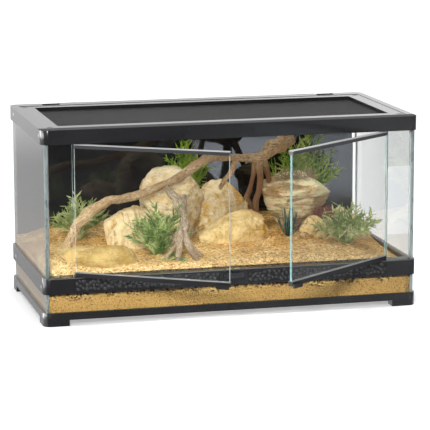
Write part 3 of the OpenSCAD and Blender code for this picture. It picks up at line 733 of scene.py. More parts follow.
def tree_screen():
    """Two crossing sets of wires over a window, a wire's thickness apart."""
    t = Tree("Woven screen", [
        ("Length", "Float", 0.53), ("Depth", "Float", 0.21), ("Pitch", "Float", 0.002),
        ("Wire", "Float", 0.0004), ("Level", "Float", 0.2975), ("Finish", "Material", None)])
    pitch, thick = t.input("Pitch"), t.input("Wire")
    sets = []
    # the wires of a set lie side by side along one axis and run along the other
    for across, axis, along, other, side in (("Length", "X", "Depth", "Y", 1),
                                             ("Depth", "Y", "Length", "X", -1)):
        count = t.calc("FLOOR", t.calc("DIVIDE", t.input(across), pitch))
        width = t.calc("MULTIPLY", t.calc("SUBTRACT", count, 1), pitch)
        start = t.calc("MULTIPLY", width, -0.5)
        z = t.calc("ADD", t.input("Level"), t.calc("MULTIPLY", thick, 0.45 * side))
        first = t.node("ShaderNodeCombineXYZ", **{axis: start, "Z": z})
        gap = t.node("ShaderNodeCombineXYZ", **{axis: pitch})
        row = t.node("GeometryNodeMeshLine", {"mode": "OFFSET"}, Count=count,
                     Start_Location=first.outputs[0], Offset=gap.outputs[0])
        size = t.node("ShaderNodeCombineXYZ", **{axis: thick, other: t.input(along), "Z": thick})
        wire = t.node("GeometryNodeMeshCube", Size=size.outputs[0])
        sets.append(t.node("GeometryNodeInstanceOnPoints", Points=row.outputs[0],
                           Instance=wire.outputs[0]).outputs[0])
    return t.close(t.node("GeometryNodeJoinGeometry", Geometry=sets).outputs[0])


def tree_scatter():
    """Rounded grains scattered over the faces, flattened along each face's normal."""
    t = Tree("Scattered grains", [
        ("Distance", "Float", 0.004), ("Density", "Float", 60000.0), ("Radius", "Float", 0.0026),
        ("Flatness", "Float", 0.3), ("Roundness", "Int", 2), ("Seed", "Int", 4),
        ("Finish", "Material", None)])
    spread = t.node("GeometryNodeDistributePointsOnFaces", {"distribute_method": "POISSON"},
                    Mesh=t.input("Geometry"), Seed=t.input("Seed"))
    t.feed(spread.inputs["Distance Min"], t.input("Distance"))
    t.feed(spread.inputs["Density Max"], t.input("Density"))
    grain = t.node("GeometryNodeMeshIcoSphere", Radius=t.input("Radius"),
                   Subdivisions=t.input("Roundness"))
    shape = t.node("FunctionNodeRandomValue", {"data_type": "FLOAT_VECTOR"}, Seed=t.input("Seed"))
    t.feed(shape.inputs[0], (0.55, 0.55, 0.6))
    t.feed(shape.inputs[1], (1.15, 1.15, 1.0))
    squash = t.node("ShaderNodeCombineXYZ", X=1.0, Y=1.0, Z=t.input("Flatness"))
    scale = t.node("ShaderNodeVectorMath", {"operation": "MULTIPLY"}, i0=shape.outputs[0],
                   i1=squash.outputs[0])
    lying = t.turned(spread.outputs["Rotation"], Z=t.random(t.input("Seed"), 0.0, FULL_TURN))
    grains = t.node("GeometryNodeInstanceOnPoints", Points=spread.outputs["Points"],
                    Instance=grain.outputs["Mesh"], Rotation=lying, Scale=scale.outputs[0])
    smooth = t.node("GeometryNodeSetShadeSmooth", Geometry=grains.outputs[0])
    return t.close(smooth.outputs[0])


TREE_MAKERS = {"sprigs": tree_sprigs, "fibres": tree_fibres, "screen": tree_screen,
               "scatter": tree_scatter}


# ---------------------------------------------------------------- glass and mouldings

def door_matrix(side):
    """Places a door piece drawn along +X from its pin, as the CAD doors stand."""
    flip = Matrix.Diagonal((1 if side < 0 else -1, 1, 1, 1))
    turn = Matrix.Rotation(-DOOR_ANGLES[side], 4, "Z")
    return flip @ Matrix.Translation((-PIN_X, PIN_Y, 0)) @ turn


def pane_mesh(name, lo, hi, arris, matrix=None):
    """A pane with ground arrises; its two large faces take slot 0 and the rest slot 1."""
    clearance = 0.08 * MM
    bm = bmesh.new()
    bmesh.ops.create_cube(bm, size=1)
    size = [h - l - clearance for l, h in zip(lo, hi)]
    mid = [(l + h) / 2 for l, h in zip(lo, hi)]
    for v in bm.verts:
        v.co = Vector([m + c * s for m, c, s in zip(mid, v.co, size)])
    bmesh.ops.bevel(bm, geom=bm.edges[:], offset=arris, segments=1, affect="EDGES")
    thin = size.index(min(size))
    bm.normal_update()
    for f in bm.faces:
        f.material_index = 0 if abs(f.normal[thin]) > 0.95 else 1
    if matrix:
        bmesh.ops.transform(bm, matrix=matrix, verts=bm.verts)
    return finish_bmesh(bm, name, smooth=False)


class TERRARIUM_PG_glass(bpy.types.PropertyGroup):
    arris: FloatProperty(name="Arris", description="Width of the ground edge of each pane",
                         default=0.0005, min=0.0, unit="LENGTH")
    seam: FloatProperty(name="Seam", description="Width of the silicone seams",
                        default=0.0035, min=0.0, unit="LENGTH")


class TERRARIUM_PG_lid(bpy.types.PropertyGroup):
    pitch: FloatProperty(name="Mesh pitch", description="Distance between wires of the screen",
                         default=0.0019, min=0.001, unit="LENGTH")
    wire: FloatProperty(name="Wire", description="Thickness of a wire of the screen",
                        default=0.00042, min=0.0001, unit="LENGTH")


class TERRARIUM_PG_bed(bpy.types.PropertyGroup):
    roughness: FloatProperty(name="Sand relief", description="Height of the ripples in the sand",
                             default=0.0022, min=0.0, unit="LENGTH")
    gravel: FloatProperty(name="Gravel", description="Radius of the loose grains on the sand",
                          default=0.0009, min=0.0, unit="LENGTH")
    seed: IntProperty(name="Seed", description="Seed of the loose grains on the sand", default=5)


class TERRARIUM_PG_light(bpy.types.PropertyGroup):
    key: FloatProperty(name="Key light", description="Power of the main soft light",
                       default=40.0, min=0.0, unit="POWER")
    card: FloatProperty(name="Front card", description="Power of the low card in front, right",
                        default=3.0, min=0.0, unit="POWER")
    sky: FloatProperty(name="Surround", description="Brightness of the white surround",
                       default=1.3, min=0.0)
    ambient: FloatProperty(name="Ambient", description="Part of the surround that lights the scene",
                           default=0.24, min=0.0, max=1.0, subtype="FACTOR")
    tint: FloatVectorProperty(name="Surround colour", description="Colour of the surround",
                              default=(1.0, 1.0, 1.0), subtype="COLOR", size=3)


class TERRARIUM_OT_glass(bpy.types.Operator):
    """Panes with ground green edges, and the silicone seams between them"""
    bl_idname = "terrarium.glass"
    bl_label = "Glass"

    def execute(self, context):
        glass = context.scene.terrarium_glass
        slots = [finish("pane"), finish("case_edge")]
        for node in ("bottom_glass", "lower_left_glass", "lower_right_glass", "lower_back_glass",
                     "lower_front_glass", "upper_left_glass", "upper_right_glass",
                     "upper_back_glass", "left_front_strip", "right_front_strip"):
            lo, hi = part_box(node)
            obj = add_object(node + "_pane", pane_mesh(node, lo, hi, glass.arris), slots)
            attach(obj, "case")
            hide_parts(node)
        for side, body in ((-1, "left_door"), (1, "right_door")):
            node = body + "_glass"
            mesh = pane_mesh(node, *DOOR_PANE, glass.arris, door_matrix(side))
            # the left door's edge takes the paler colour: a painted highlight on the same glass
            edge = "pale_edge" if side < 0 else "edge"
            obj = add_object(node + "_pane", mesh, [finish("pane"), finish(edge)])
            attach(obj, body)
            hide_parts(node)
        self.seams(glass.seam)
        return {"FINISHED"}

    def seams(self, width):
        """Upright seams in the four corners, each a hollow fillet that wavers in width."""
        x, front, back = 0.2915, -0.1415, 0.1395
        foot, head = 0.0755, 0.281
        bm = bmesh.new()
        for sx in (-1, 1):
            for sy, y in ((-1, front), (1, back)):
                rings = []
                for z in spaced(foot, head - foot, 40):
                    w = width * (1 + 0.12 * noise.noise(Vector((sx * 9, sy * 7, z * 60))))
                    ring = [Vector((sx * x, y, z))]
                    for k in range(5):
                        a = math.pi / 2 * k / 4
                        ring.append(Vector((sx * (x - w * (1 - 0.75 * math.sin(a))),
                                            y - sy * w * (1 - 0.75 * math.cos(a)), z)))
                    rings.append(ring)
                loft(bm, rings)
        obj = add_object("silicone_seams", finish_bmesh(bm, "silicone_seams"), [finish("seam")])
        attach(obj, "case")


# the CAD nodes that keep their shape, under the finish they take
MOULDING_LOOKS = {
    "moulding": ("base_frame", "latch_plate"),
    "top_frame": ("top_frame",),
    "band": ("middle_band",),
    # turn_latch takes the top rail's lighter tone: painted light on the latch
    "top_rail": ("left_top_rail", "right_top_rail", "turn_latch"),
    "bottom_rail": ("left_bottom_rail", "right_bottom_rail"),
    "lid": ("lid_frame",),
    "insert": ("vent_grille", "mesh_retainer", "front_left_lid_lock", "front_right_lid_lock",
               "back_left_lid_lock", "back_right_lid_lock", "left_inlet_gate",
               "right_inlet_gate"),
    "back": ("background_panel",),
    "steel": ("left_hinge_pins", "right_hinge_pins", "strike_plates", "left_door_magnet",
              "right_door_magnet", "frame_screws"),
}
# widths of the softened edges, in metres
SOFT_EDGES = {"base_frame": 0.0009, "middle_band": 0.0007, "top_frame": 0.0008,
              "lid_frame": 0.0006, "left_top_rail": 0.0006, "left_bottom_rail": 0.0006,
              "right_top_rail": 0.0006, "right_bottom_rail": 0.0006, "turn_latch": 0.0004,
              "latch_plate": 0.0003}


class TERRARIUM_OT_mouldings(bpy.types.Operator):
    """Finishes and softened edges for the frames, rails, plates and small fittings"""
    bl_idname = "terrarium.mouldings"
    bl_label = "Mouldings"

    def execute(self, context):
        for look, nodes in MOULDING_LOOKS.items():
            for name in nodes:
                obj = frame["nodes"][name]
                for slot in obj.material_slots:
                    slot.material = finish(look)
        for name, width in SOFT_EDGES.items():
            obj = frame["nodes"][name]
            weld = obj.modifiers.new("Weld", "WELD")
            weld.merge_threshold = 0.00002
            bevel = obj.modifiers.new("Soft edges", "BEVEL")
            bevel.width = width
            bevel.segments = 2
            bevel.limit_method = "ANGLE"
            bevel.angle_limit = math.radians(50)
            bevel.use_clamp_overlap = True
            bevel.harden_normals = True
        return {"FINISHED"}


class TERRARIUM_OT_pebbled_panels(bpy.types.Operator):
    """Panels in the front of the band, covered with low rounded pebbles"""
    bl_idname = "terrarium.pebbled_panels"
    bl_label = "Pebbled panels"

    def execute(self, context):
        for side, node in ((-1, "left_pebble_panel"), (1, "right_pebble_panel")):
            lo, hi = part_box(node)
            # pebbles stand on a sheet inside the panel, a margin in from its ends and brims,
            # and the plate's face is set back from theirs
            inside, end, brim, set_back = 0.0011, 0.002, 0.0015, 0.0006
            bm = bmesh.new()
            sheet(bm, spaced(lo[0] + end, hi[0] - lo[0] - 2 * end, 40),
                  spaced(lo[2] + brim, hi[2] - lo[2] - 2 * brim, 4),
                  lambda x, z: (x, hi[1] - inside, z))
            obj = grow(node + "_face", "scatter", plain_mesh(bm, node), "pebbled",
                       Distance=0.0056, Density=500000.0, Radius=0.0031, Flatness=0.36,
                       Roundness=2, Seed=11 + side)
            # the plate behind them, with softened edges
            plate = bmesh.new()
            plate.from_mesh(obj.data)
            pebbles = set(plate.faces)
            box = bmesh.ops.create_cube(plate, size=1)["verts"]
            for v in box:
                v.co = Vector([(l + h) / 2 + c * (h - l) for l, h, c in
                               zip((lo[0], lo[1] + set_back, lo[2]), hi, v.co)])
            edges = [e for e in plate.edges if all(v in box for v in e.verts)]
            bmesh.ops.bevel(plate, geom=edges, offset=0.0003, segments=2, affect="EDGES")
            obj.data.materials.append(finish("insert"))
            for face in plate.faces:
                face.material_index = 0 if face in pebbles else 1
            plate.to_mesh(obj.data)
            plate.free()
            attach(obj, "case")
            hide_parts(node)
        return {"FINISHED"}


class TERRARIUM_OT_screen(bpy.types.Operator):
    """The fine woven wire screen of the lid"""
    bl_idname = "terrarium.screen"
    bl_label = "Screen"

    def execute(self, context):
        screen = context.scene.terrarium_lid
        lo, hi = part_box("screen_mesh")
        margin = 0.002
        obj = grow("woven_screen", "screen", bpy.data.meshes.new("woven_screen"), "wire",
                   Length=hi[0] - lo[0] - margin, Depth=hi[1] - lo[1] - margin,
                   Pitch=screen.pitch, Wire=screen.wire, Level=(lo[2] + hi[2]) / 2)
        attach(obj, "lid")
        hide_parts("screen_mesh")
        return {"FINISHED"}


# ---------------------------------------------------------------- sand

def bump(u, v, cx, cy, sx, sy):
    """A round rise of height 1 at (cx, cy) that spreads over sx and sy."""
    return math.exp(-((u - cx) / sx) ** 2 - ((v - cy) / sy) ** 2)


def sand_level(x, y):
    """The sand's height in metres at a place in metres, as the CAD bed has it."""
    u, v = x * MM_IN_METRE, y * MM_IN_METRE
    slope = 26 * (v + 125) / 263
    front_left_rise = 24 * bump(u, v, -290, -95, 42, 48)
    back_left_dip = 20 * bump(u, v, -290, 100, 40, 90)
    right_dip = 24 * bump(u, v, 290, 10, 55, 150)
    back_rise = 6 * bump(u, v, 20, 120, 120, 60)
    return MM * (80 + slope + front_left_rise - back_left_dip - right_dip + back_rise)


def loose_level(x, y, relief):
    """The same with ripples, and falling away at the front pane."""
    ripples = fractal(Vector((x * 22, y * 22, 3.0)), 5, 0.55)
    front_fall = 0.0042 * (1 - smoothstep(-0.125, -0.108, y))
    return sand_level(x, y) + relief * ripples - front_fall


def foot_on_sand(x, y, sunk):
    """A place on the sand in mm, a little under its surface."""
    return Vector((x, y, sand_level(x * MM, y * MM) * MM_IN_METRE - sunk))


class TERRARIUM_OT_sand(bpy.types.Operator):
    """The sand bed with its relief, pressed against the lower panes, and loose gravel"""
    bl_idname = "terrarium.sand"
    bl_label = "Sand"

    def execute(self, context):
        bed = context.scene.terrarium_bed
        bm = bmesh.new()
        self.top(bm, bed.roughness)
        self.pressed(bm)
        obj = add_object("loose_sand", finish_bmesh(bm, "loose_sand"), [finish("sand")])
        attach(obj, "case")
        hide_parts("sand_bed")
        self.gravel(bed)
        return {"FINISHED"}

    def top(self, bm, relief):
        """The bed above the lower panes, with its relief and straight sides."""
        half, front, back, underside = 0.2913, -0.1249, 0.1383, 0.051
        rows = sheet(bm, spaced(-half, 2 * half, 300), spaced(front, back - front, 140),
                     lambda x, y: (x, y, loose_level(x, y, relief)))
        rim = (rows[0] + [r[-1] for r in rows[1:]] + rows[-1][-2::-1]
               + [r[0] for r in rows[-2:0:-1]])
        skirt = [bm.verts.new((v.co.x, v.co.y, underside)) for v in rim]
        for k in range(len(rim)):
            n = (k + 1) % len(rim)
            bm.faces.new((rim[n], rim[k], skirt[k], skirt[n]))
        bm.faces.new(skirt)

    def pressed(self, bm):
        """The lower part, with a softly uneven face behind the panes."""
        half_x, half_y, foot, head = 0.29135, 0.14135, 0.0171, 0.0525
        around, uneven = 240, 0.00035
        loops = []
        for z in spaced(foot, head - foot, 8):
            ring = []
            for i in range(around):
                t = i / around * 4
                side, b = int(t), t - int(t)
                x, y = ((-half_x + 2 * half_x * b, -half_y), (half_x, -half_y + 2 * half_y * b),
                        (half_x - 2 * half_x * b, half_y), (-half_x, half_y - 2 * half_y * b))[side]
                d = uneven * abs(noise.noise(Vector((x * 60, y * 60, z * 90))))
                ring.append(Vector((x - math.copysign(d, x), y - math.copysign(d, y), z)))
            loops.append(ring)
        loft(bm, loops)

    def gravel(self, bed):
        """Loose grains over the bed, but for a margin along the panes."""
        half, front, depth, sunk = 0.285, -0.1235, 0.25, 0.0002
        bm = bmesh.new()
        sheet(bm, spaced(-half, 2 * half, 120), spaced(front, depth, 56),
              lambda x, y: (x, y, loose_level(x, y, bed.roughness) - sunk))
        obj = grow("loose_gravel", "scatter", plain_mesh(bm, "gravel"), "sand", Distance=0.0034,
                   Density=90000.0, Radius=bed.gravel, Flatness=0.8, Roundness=1,
                   Seed=bed.seed)
        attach(obj, "case")


# ---------------------------------------------------------------- stones

# CAD node, finish, seed, relief, and rings (height, centre x, centre y, half width, half depth);
# all lengths in mm
STONES = [
    ("round_boulder", "stone_round", 1, 2.6, [
        (82, -56, 44, 38, 32), (100, -57, 44, 43, 36), (122, -57, 42, 46, 38),
        (140, -56, 42, 48, 40), (152, -54, 42, 50, 42), (166, -53, 42, 51, 42),
        (180, -52, 42, 50, 42), (194, -52, 43, 42, 37), (204, -53, 44, 28, 27),
        (209, -53, 44, 9, 9)]),
    ("striped_slab", "stone_striped", 2, 2.8, [
        (76, -144, 4, 54, 35), (92, -143, 4, 56, 36), (106, -139, 4, 55, 35),
        (122, -130, 5, 49, 32), (138, -118, 6, 39, 28), (149, -107, 8, 27, 21),
        (155, -100, 8, 10, 9)]),
    ("pale_peak", "stone_pale", 3, 3.4, [
        (80, 28, 66, 46, 33), (100, 29, 66, 50, 34), (125, 30, 66, 50, 34),
        (145, 32, 64, 45, 31), (158, 33, 62, 37, 27), (168, 31, 60, 27, 21),
        (177, 27, 60, 15, 13), (182, 25, 60, 5, 5)]),
    ("front_boulder", "stone_gold", 4, 3.4, [
        (74, 29, 3, 65, 32), (86, 31, 3, 65, 34), (98, 36, 3, 58, 33), (110, 43, 5, 48, 30),
        (121, 51, 6, 37, 25), (130, 59, 8, 25, 19), (137, 65, 8, 9, 9)]),
    ("layered_rock", "stone_layered", 5, 2.6, [
        (95, 146, 52, 7, 9), (106, 150, 54, 23, 18), (120, 154, 56, 37, 26),
        (136, 158, 57, 49, 31), (150, 160, 58, 56, 33), (160, 161, 58, 61, 35),
        (166, 161, 58, 62, 36), (171, 163, 58, 57, 34), (178, 165, 56, 46, 28),
        (184, 167, 56, 34, 20), (187, 168, 56, 20, 12), (189, 168, 56, 7, 5)]),
    ("pitted_stone", "stone_pitted", 6, 2.6, [
        (80, 167, -12, 22, 15), (94, 167, -12, 25, 17), (107, 168, -11, 23, 16),
        (118, 169, -10, 15, 11), (125, 170, -10, 5, 5)]),
    ("corner_stone", "stone_pale", 7, 2.8, [
        (70, 246, 36, 36, 26), (86, 246, 36, 38, 28), (102, 240, 36, 34, 25),
        (116, 230, 38, 23, 19), (126, 222, 40, 12, 11), (130, 219, 40, 4, 4)]),
    ("low_mound_stone", "stone_mound", 8, 1.6, [
        (58, -210, -84, 70, 32), (76, -210, -84, 73, 33), (90, -209, -84, 70, 32),
        (101, -208, -84, 60, 28), (108, -207, -84, 43, 21), (112, -206, -84, 14, 9)]),
]


SMOOTH_STONES = ("low_mound_stone", "round_boulder")


def broken_faces(seed, count):
    """Directions and depths of the flat faces broken off a stone."""
    rng = random.Random(seed)
    faces = []
    for _ in range(count):
        a, h = rng.uniform(0, 2 * math.pi), rng.uniform(-0.5, 0.9)
        w = math.sqrt(1 - h * h)
        faces.append((Vector((w * math.cos(a), w * math.sin(a), h)), rng.uniform(0.74, 0.95)))
    return faces


def stone_relief(name, seed, relief, x, y, z):
    """How far the surface stands out at a place on the plain form, all in mm."""
    shift = Vector((seed * 13.7, seed * 5.1, seed * 9.3))
    p = Vector((x, y, z))
    q = p * 0.03 + shift
    broad = 1.2 * fractal(q, 2, 0.5)
    ridge = (0.5 if name in SMOOTH_STONES else 1.1) * (0.5 - abs(noise.noise(q * 2.3)))
    fine = 0.8 * fractal(q * 4.5, 4, 0.62)
    push = relief * (broad + ridge + fine)
    groove = abs(noise.noise(Vector((q.x, q.y, q.z * 2.2)) * 1.1 + shift))
    push -= relief * 0.55 * max(0.0, 1 - groove * 22)
    if name == "layered_rock":
        push += 2.8 * fractal(Vector((q.x * 0.35, q.y * 0.35, z * 0.17)), 3, 0.6)
    if name == "striped_slab":
        bed = Vector((seed, q.y * 0.4, (p.x * 0.75 + z * 0.85) * 0.07))
        push += 7.0 * (0.3 - abs(noise.noise(bed)))
    if name == "pitted_stone":
        push -= 3.0 * max(0.0, 0.42 - noise.voronoi(p * 0.22)[0][0])
    return push


def stone_mesh(name, seed, relief, profile):
    """A stone through its rings, with relief, and with flat faces broken off."""
    around, steps = 150, 14
    # rings thinner than this take less of the relief
    thin_ring = 12
    low, high = profile[0][0], profile[-1][0]
    half = Vector((max(r[3] for r in profile), max(r[4] for r in profile), (high - low) / 2))
    middle = Vector((sum(r[1] for r in profile) / len(profile),
                     sum(r[2] for r in profile) / len(profile), (high + low) / 2))
    faces = broken_faces(seed, 4 if name in SMOOTH_STONES else 11)
    rings = []
    for z, cx, cy, rx, ry in curve_through(profile, steps):
        ring = []
        for k in range(around):
            a = 2 * math.pi * k / around
            c, s = math.cos(a), math.sin(a)
            push = stone_relief(name, seed, relief, cx + rx * c, cy + ry * s, z)
            scale = 1 + push / max(rx, ry, thin_ring)
            p = Vector((cx + rx * c * scale, cy + ry * s * scale, z + push * 0.3))
            u = Vector([(v - m) / h for v, m, h in zip(p, middle, half)])
            for way, depth in faces:
                over = u.dot(way) - depth
                if over > 0:
                    u -= way * over * 0.8
            ring.append(Vector([m + v * h for v, m, h in zip(u, middle, half)]) * MM)
        rings.append(ring)
    bm = bmesh.new()
    loft(bm, rings)
    return finish_bmesh(bm, name)


class TERRARIUM_OT_stones(bpy.types.Operator):
    """Sandstone boulders, the layered rock and the small stones"""
    bl_idname = "terrarium.stones"
    bl_label = "Stones"

    def execute(self, context):
        for node, look, seed, relief, profile in STONES:
            obj = add_object(node + "_stone", stone_mesh(node, seed, relief, profile), [finish(look)])
            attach(obj, "case")
            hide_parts(node)
        return {"FINISHED"}


# ---------------------------------------------------------------- wood

# limbs as points (x, y, z, radius) in mm
BRANCH = [
    [(-258, -72, 84, 8.5), (-246, -68, 113, 8), (-225, -60, 144, 8.5), (-198, -48, 163, 8),
     (-172, -38, 172, 7), (-138, -30, 175, 6.5), (-104, -24, 183, 6.2), (-79, -20, 191, 6),
     (-53, -16, 201, 6.8), (-18, -4, 220, 7.5), (8, 10, 226, 6), (43, 26, 222, 5.5),
     (77, 38, 217, 7), (98, 40, 219, 9), (119, 38, 235, 12.5), (137, 34, 245, 12.5),
     (151, 32, 250, 8)],
    [(88, 42, 217, 5), (83, 50, 178, 3.6), (77, 56, 148, 4.8), (82, 56, 134, 4), (85, 54, 88, 3.5)],
    [(93, 40, 219, 6), (94, 40, 171, 5), (87, 40, 139, 5), (92, 40, 90, 4.5)],
    [(100, 42, 219, 7), (112, 56, 185, 4.5), (120, 60, 158, 4)],
    [(53, 29, 221, 5), (44, 34, 196, 4), (33, 40, 181, 3.5), (28, 50, 164, 3)]]

ROOT = [
    [(-79, -21, 190, 3.5), (-74, -38, 181, 5.5), (-69, -50, 172, 7.5), (-64, -60, 158, 8),
     (-60, -65, 147, 6), (-60, -74, 130, 7.5), (-69, -80, 119, 6)],
    [(-54, -50, 178, 3), (-57, -57, 166, 5), (-60, -64, 148, 4.5)],
    [(-66, -79, 126, 5), (-72, -82, 118, 7), (-79, -60, 103, 4.5), (-94, -25, 84, 3)],
    [(-67, -82, 122, 5.5), (-75, -98, 99, 4.5), (-79, -106, 72, 3)],
    [(-70, -84, 112, 4), (-84, -88, 98, 3.2), (-96, -90, 84, 2.2)],
    [(-62, -78, 124, 5.5), (-58, -87, 106, 5), (-43, -104, 74, 3.5)],
    [(-60, -84, 112, 3.5), (-50, -90, 98, 3), (-35, -92, 86, 2.2)]]


def limb(bm, path, seed):
    """A twisted, fluted limb through (x, y, z, radius) in mm."""
    pts = curve_through(path, 14)
    around = 28
    rings, lengths = [], []
    length = 0.0
    side = Vector((0.05, 1, 0.1))
    last = None
    for i, (x, y, z, r) in enumerate(pts):
        p = Vector((x, y, z))
        a, b = pts[max(i - 1, 0)], pts[min(i + 1, len(pts) - 1)]
        t = (Vector(b[:3]) - Vector(a[:3])).normalized()
        u = (side - t * side.dot(t)).normalized()
        side = u
        v = t.cross(u)
        if last is not None:
            length += (p - last).length
        last = p
        lengths.append(length)
        wander = Vector((noise.noise(p * 0.05 + Vector((seed, 0, 0))),
                         noise.noise(p * 0.05 + Vector((0, seed, 0))),
                         noise.noise(p * 0.05 + Vector((0, 0, seed))))) * r * 0.35
        ring = []
        for k in range(around):
            ang = 2 * math.pi * k / around
            d = math.cos(ang) * u + math.sin(ang) * v
            q = p * 0.09 + d * 0.8 + Vector((seed, seed, seed))
            flute = (0.09 * math.sin(3 * ang + length * 0.06 + seed)
                     + 0.05 * math.sin(7 * ang - length * 0.1))
            ridge = 0.16 * fractal(q, 3, 0.55) + 0.06 * noise.noise(q * 6)
            ring.append((p + wander + d * r * (1 + flute + ridge)) * MM)
        rings.append(ring)
    loft(bm, rings, uv=lambda i, k: (k / around, lengths[i] / 55 + seed * 0.37))


class TERRARIUM_OT_wood(bpy.types.Operator):
    """The long driftwood branch and the small rooted piece"""
    bl_idname = "terrarium.wood"
    bl_label = "Driftwood"

    def execute(self, context):
        for node, look, limbs in (("driftwood_branch", "wood", BRANCH),
                                  ("driftwood_root", "root_wood", ROOT)):
            bm = bmesh.new()
            for i, path in enumerate(limbs):
                limb(bm, path, i + len(node))
            obj = add_object(node + "_wood", finish_bmesh(bm, node), [finish(look)])
            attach(obj, "case")
            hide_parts(node)
        return {"FINISHED"}


# ---------------------------------------------------------------- plants

# CAD node, finish, place, half spread, height, stems, leaf length, leaf width, leaf spacing,
# seed; all lengths in mm
PLANTS = [
    ("left_plant", "olive", (-205, 50), (48, 27), 66, 26, 13, 1.8, 3.8, 21),
    ("centre_plant", "blue_green", (-101, -62), (44, 30), 74, 19, 17, 2.0, 4.8, 22),
    ("hilltop_plant", "bright", (-12, 121), (37, 12), 132, 19, 16, 2.2, 4.4, 23),
    ("back_plant", "yellow_green", (188, 117), (62, 15), 140, 30, 15, 2.1, 4.3, 24),
    ("front_right_plant", "olive", (217, -42), (55, 36), 62, 26, 14, 1.9, 4.0, 25),
]


def stem_lines(place, spread, height, stems, seed):
    """Edge lines of curved stems with forked twigs, fanning out of one foot."""
    rng = random.Random(seed)
    foot = foot_on_sand(*place, 3)
    twigs = 5 if height > 100 else 3
    lines = []
    for k in range(stems):
        a = 2 * math.pi * (k * GOLDEN_TURN + rng.random() * 0.12)
        e = math.sqrt((k + 0.5) / stems)
        top = height * (1 - 0.55 * e * e) * rng.uniform(0.8, 0.97)
        tip = foot + Vector((spread[0] * e * math.cos(a), spread[1] * e * math.sin(a), top))
        mid = foot.lerp(tip, 0.5) + Vector((-0.10 * (tip - foot).x, -0.10 * (tip - foot).y,
                                            0.10 * top))
        stem = [Vector(p) for p in curve_through([foot, mid, tip], 6)]
        lines.append(stem)
        for _ in range(twigs):
            i = rng.randint(3, len(stem) - 3)
            base = stem[i]
            way = (stem[i + 1] - stem[i]).normalized()
            off = Vector((rng.uniform(-1, 1), rng.uniform(-0.6, 0.6), rng.uniform(-0.1, 0.6)))
            reach = min(height, 90) * rng.uniform(0.2, 0.36)
            end = base + (way + off * 0.9).normalized() * reach
            end.x = within(end.x, foot.x, spread[0])
            end.y = within(end.y, foot.y, spread[1])
            lines.append([base, base.lerp(end, 0.5) + Vector((0, 0, reach * 0.06)), end])
    return lines


# sprigs lying on the sand beside the root, as edge lines in mm
FALLEN = [[(-104, -96, 84), (-92, -99, 85), (-80, -97, 87)],
          [(-84, -94, 86), (-78, -100, 84), (-76, -109, 84)],
          [(-96, -92, 85), (-88, -88, 88), (-79, -86, 90)]]


def line_mesh(name, lines):
    """A mesh of edges alone, from lines of points in mm."""
    verts, edges = [], []
    for line in lines:
        n = len(verts)
        verts += [tuple(p * MM) for p in line]
        edges += [(n + i, n + i + 1) for i in range(len(line) - 1)]
    mesh = bpy.data.meshes.new(name)
    mesh.from_pydata(verts, edges, [])
    return mesh


class TERRARIUM_OT_plants(bpy.types.Operator):
    """Bushy sprigs, the pointed rosette and the clumps of moss"""
    bl_idname = "terrarium.plants"
    bl_label = "Plants"

    def execute(self, context):
        for node, look, place, spread, height, stems, length, width, spacing, seed in PLANTS:
            lines = stem_lines(place, spread, height, stems, seed)
            if node == "centre_plant":
                lines += [[Vector(p) for p in line] for line in FALLEN]
            mesh = line_mesh(node, lines)
            obj = grow(node + "_sprigs", "sprigs", mesh, look, Leaf_length=length * MM,
                       Leaf_width=width * MM, Leaf_spacing=spacing * MM, Seed=seed)
            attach(obj, "case")
            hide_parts(node)
        self.rosette()
        self.moss("red_moss", "red_moss", (200, 25, 116), (16, 11, 11), 260, 0.6, 31)
        self.moss("dry_moss", "dry_moss", (158, 52, 181), (33, 19, 9), 300, 0.35, 32)
        return {"FINISHED"}

    def rosette(self):
        """Pointed leaves round one foot, the inner ones more upright."""
        leaves, reach, height = 15, 24, 58
        bm = bmesh.new()
        rng = random.Random(9)
        foot = foot_on_sand(131, 0, 2)
        for k in range(leaves):
            a = 2 * math.pi * k * GOLDEN_TURN
            e = 0.25 + 0.75 * k / (leaves - 1)
            out = Vector((math.cos(a), 0.75 * math.sin(a), 0))
            rise = height * (1 - 0.5 * e * e) * rng.uniform(0.85, 1)
            tip = foot + out * reach * e + Vector((0, 0, rise))
            mid = foot + out * 13 * e + Vector((0, 0, 0.42 * (tip.z - foot.z)))
            side = Vector((-out.y, out.x, 0)).normalized()
            rings = []
            path = curve_through([foot, mid, tip], 6)
            for i, p in enumerate(path):
                f = i / (len(path) - 1)
                w = 3.4 * (0.75 + 0.6 * f) * (1 - f) ** 0.6 + 0.05
                p = Vector(p)
                d = out * 0.9 + Vector((0, 0, -0.4))
                rings.append([(p + side * w) * MM, (p + d * w * 0.5) * MM, (p - side * w) * MM,
                              (p + d * w * 0.2) * MM])
            loft(bm, rings)
        obj = add_object("agave_rosette", finish_bmesh(bm, "agave_rosette"), [finish("agave")])
        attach(obj, "case")
        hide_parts("agave")

    def moss(self, node, look, centre, half, count, radius, seed):
        """A clump of curled fibres that keeps within half its size of the centre, in mm."""
        rng = random.Random(seed)
        lines = []
        for _ in range(count):
            a, r = rng.uniform(0, 2 * math.pi), math.sqrt(rng.random())
            p = Vector((centre[0] + half[0] * r * math.cos(a),
                        centre[1] + half[1] * r * math.sin(a), centre[2] - half[2] * 0.2))
            way = Vector((rng.uniform(-1, 1), rng.uniform(-1, 1), rng.uniform(0.3, 1.4)))
            line = [p]
            for _ in range(5):
                way = (way + Vector((rng.uniform(-1, 1), rng.uniform(-1, 1),
                                     rng.uniform(-1, 0.8))) * 0.8).normalized()
                q = line[-1] + way * half[2] * 0.42
                q.x = within(q.x, centre[0], half[0])
                q.y = within(q.y, centre[1], half[1])
                line.append(q)
            lines.append(line)
        obj = grow(node + "_clump", "fibres", line_mesh(node, lines), look,
                   Fibre_radius=radius * MM)
        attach(obj, "case")
        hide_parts(node)


# ---------------------------------------------------------------- stage

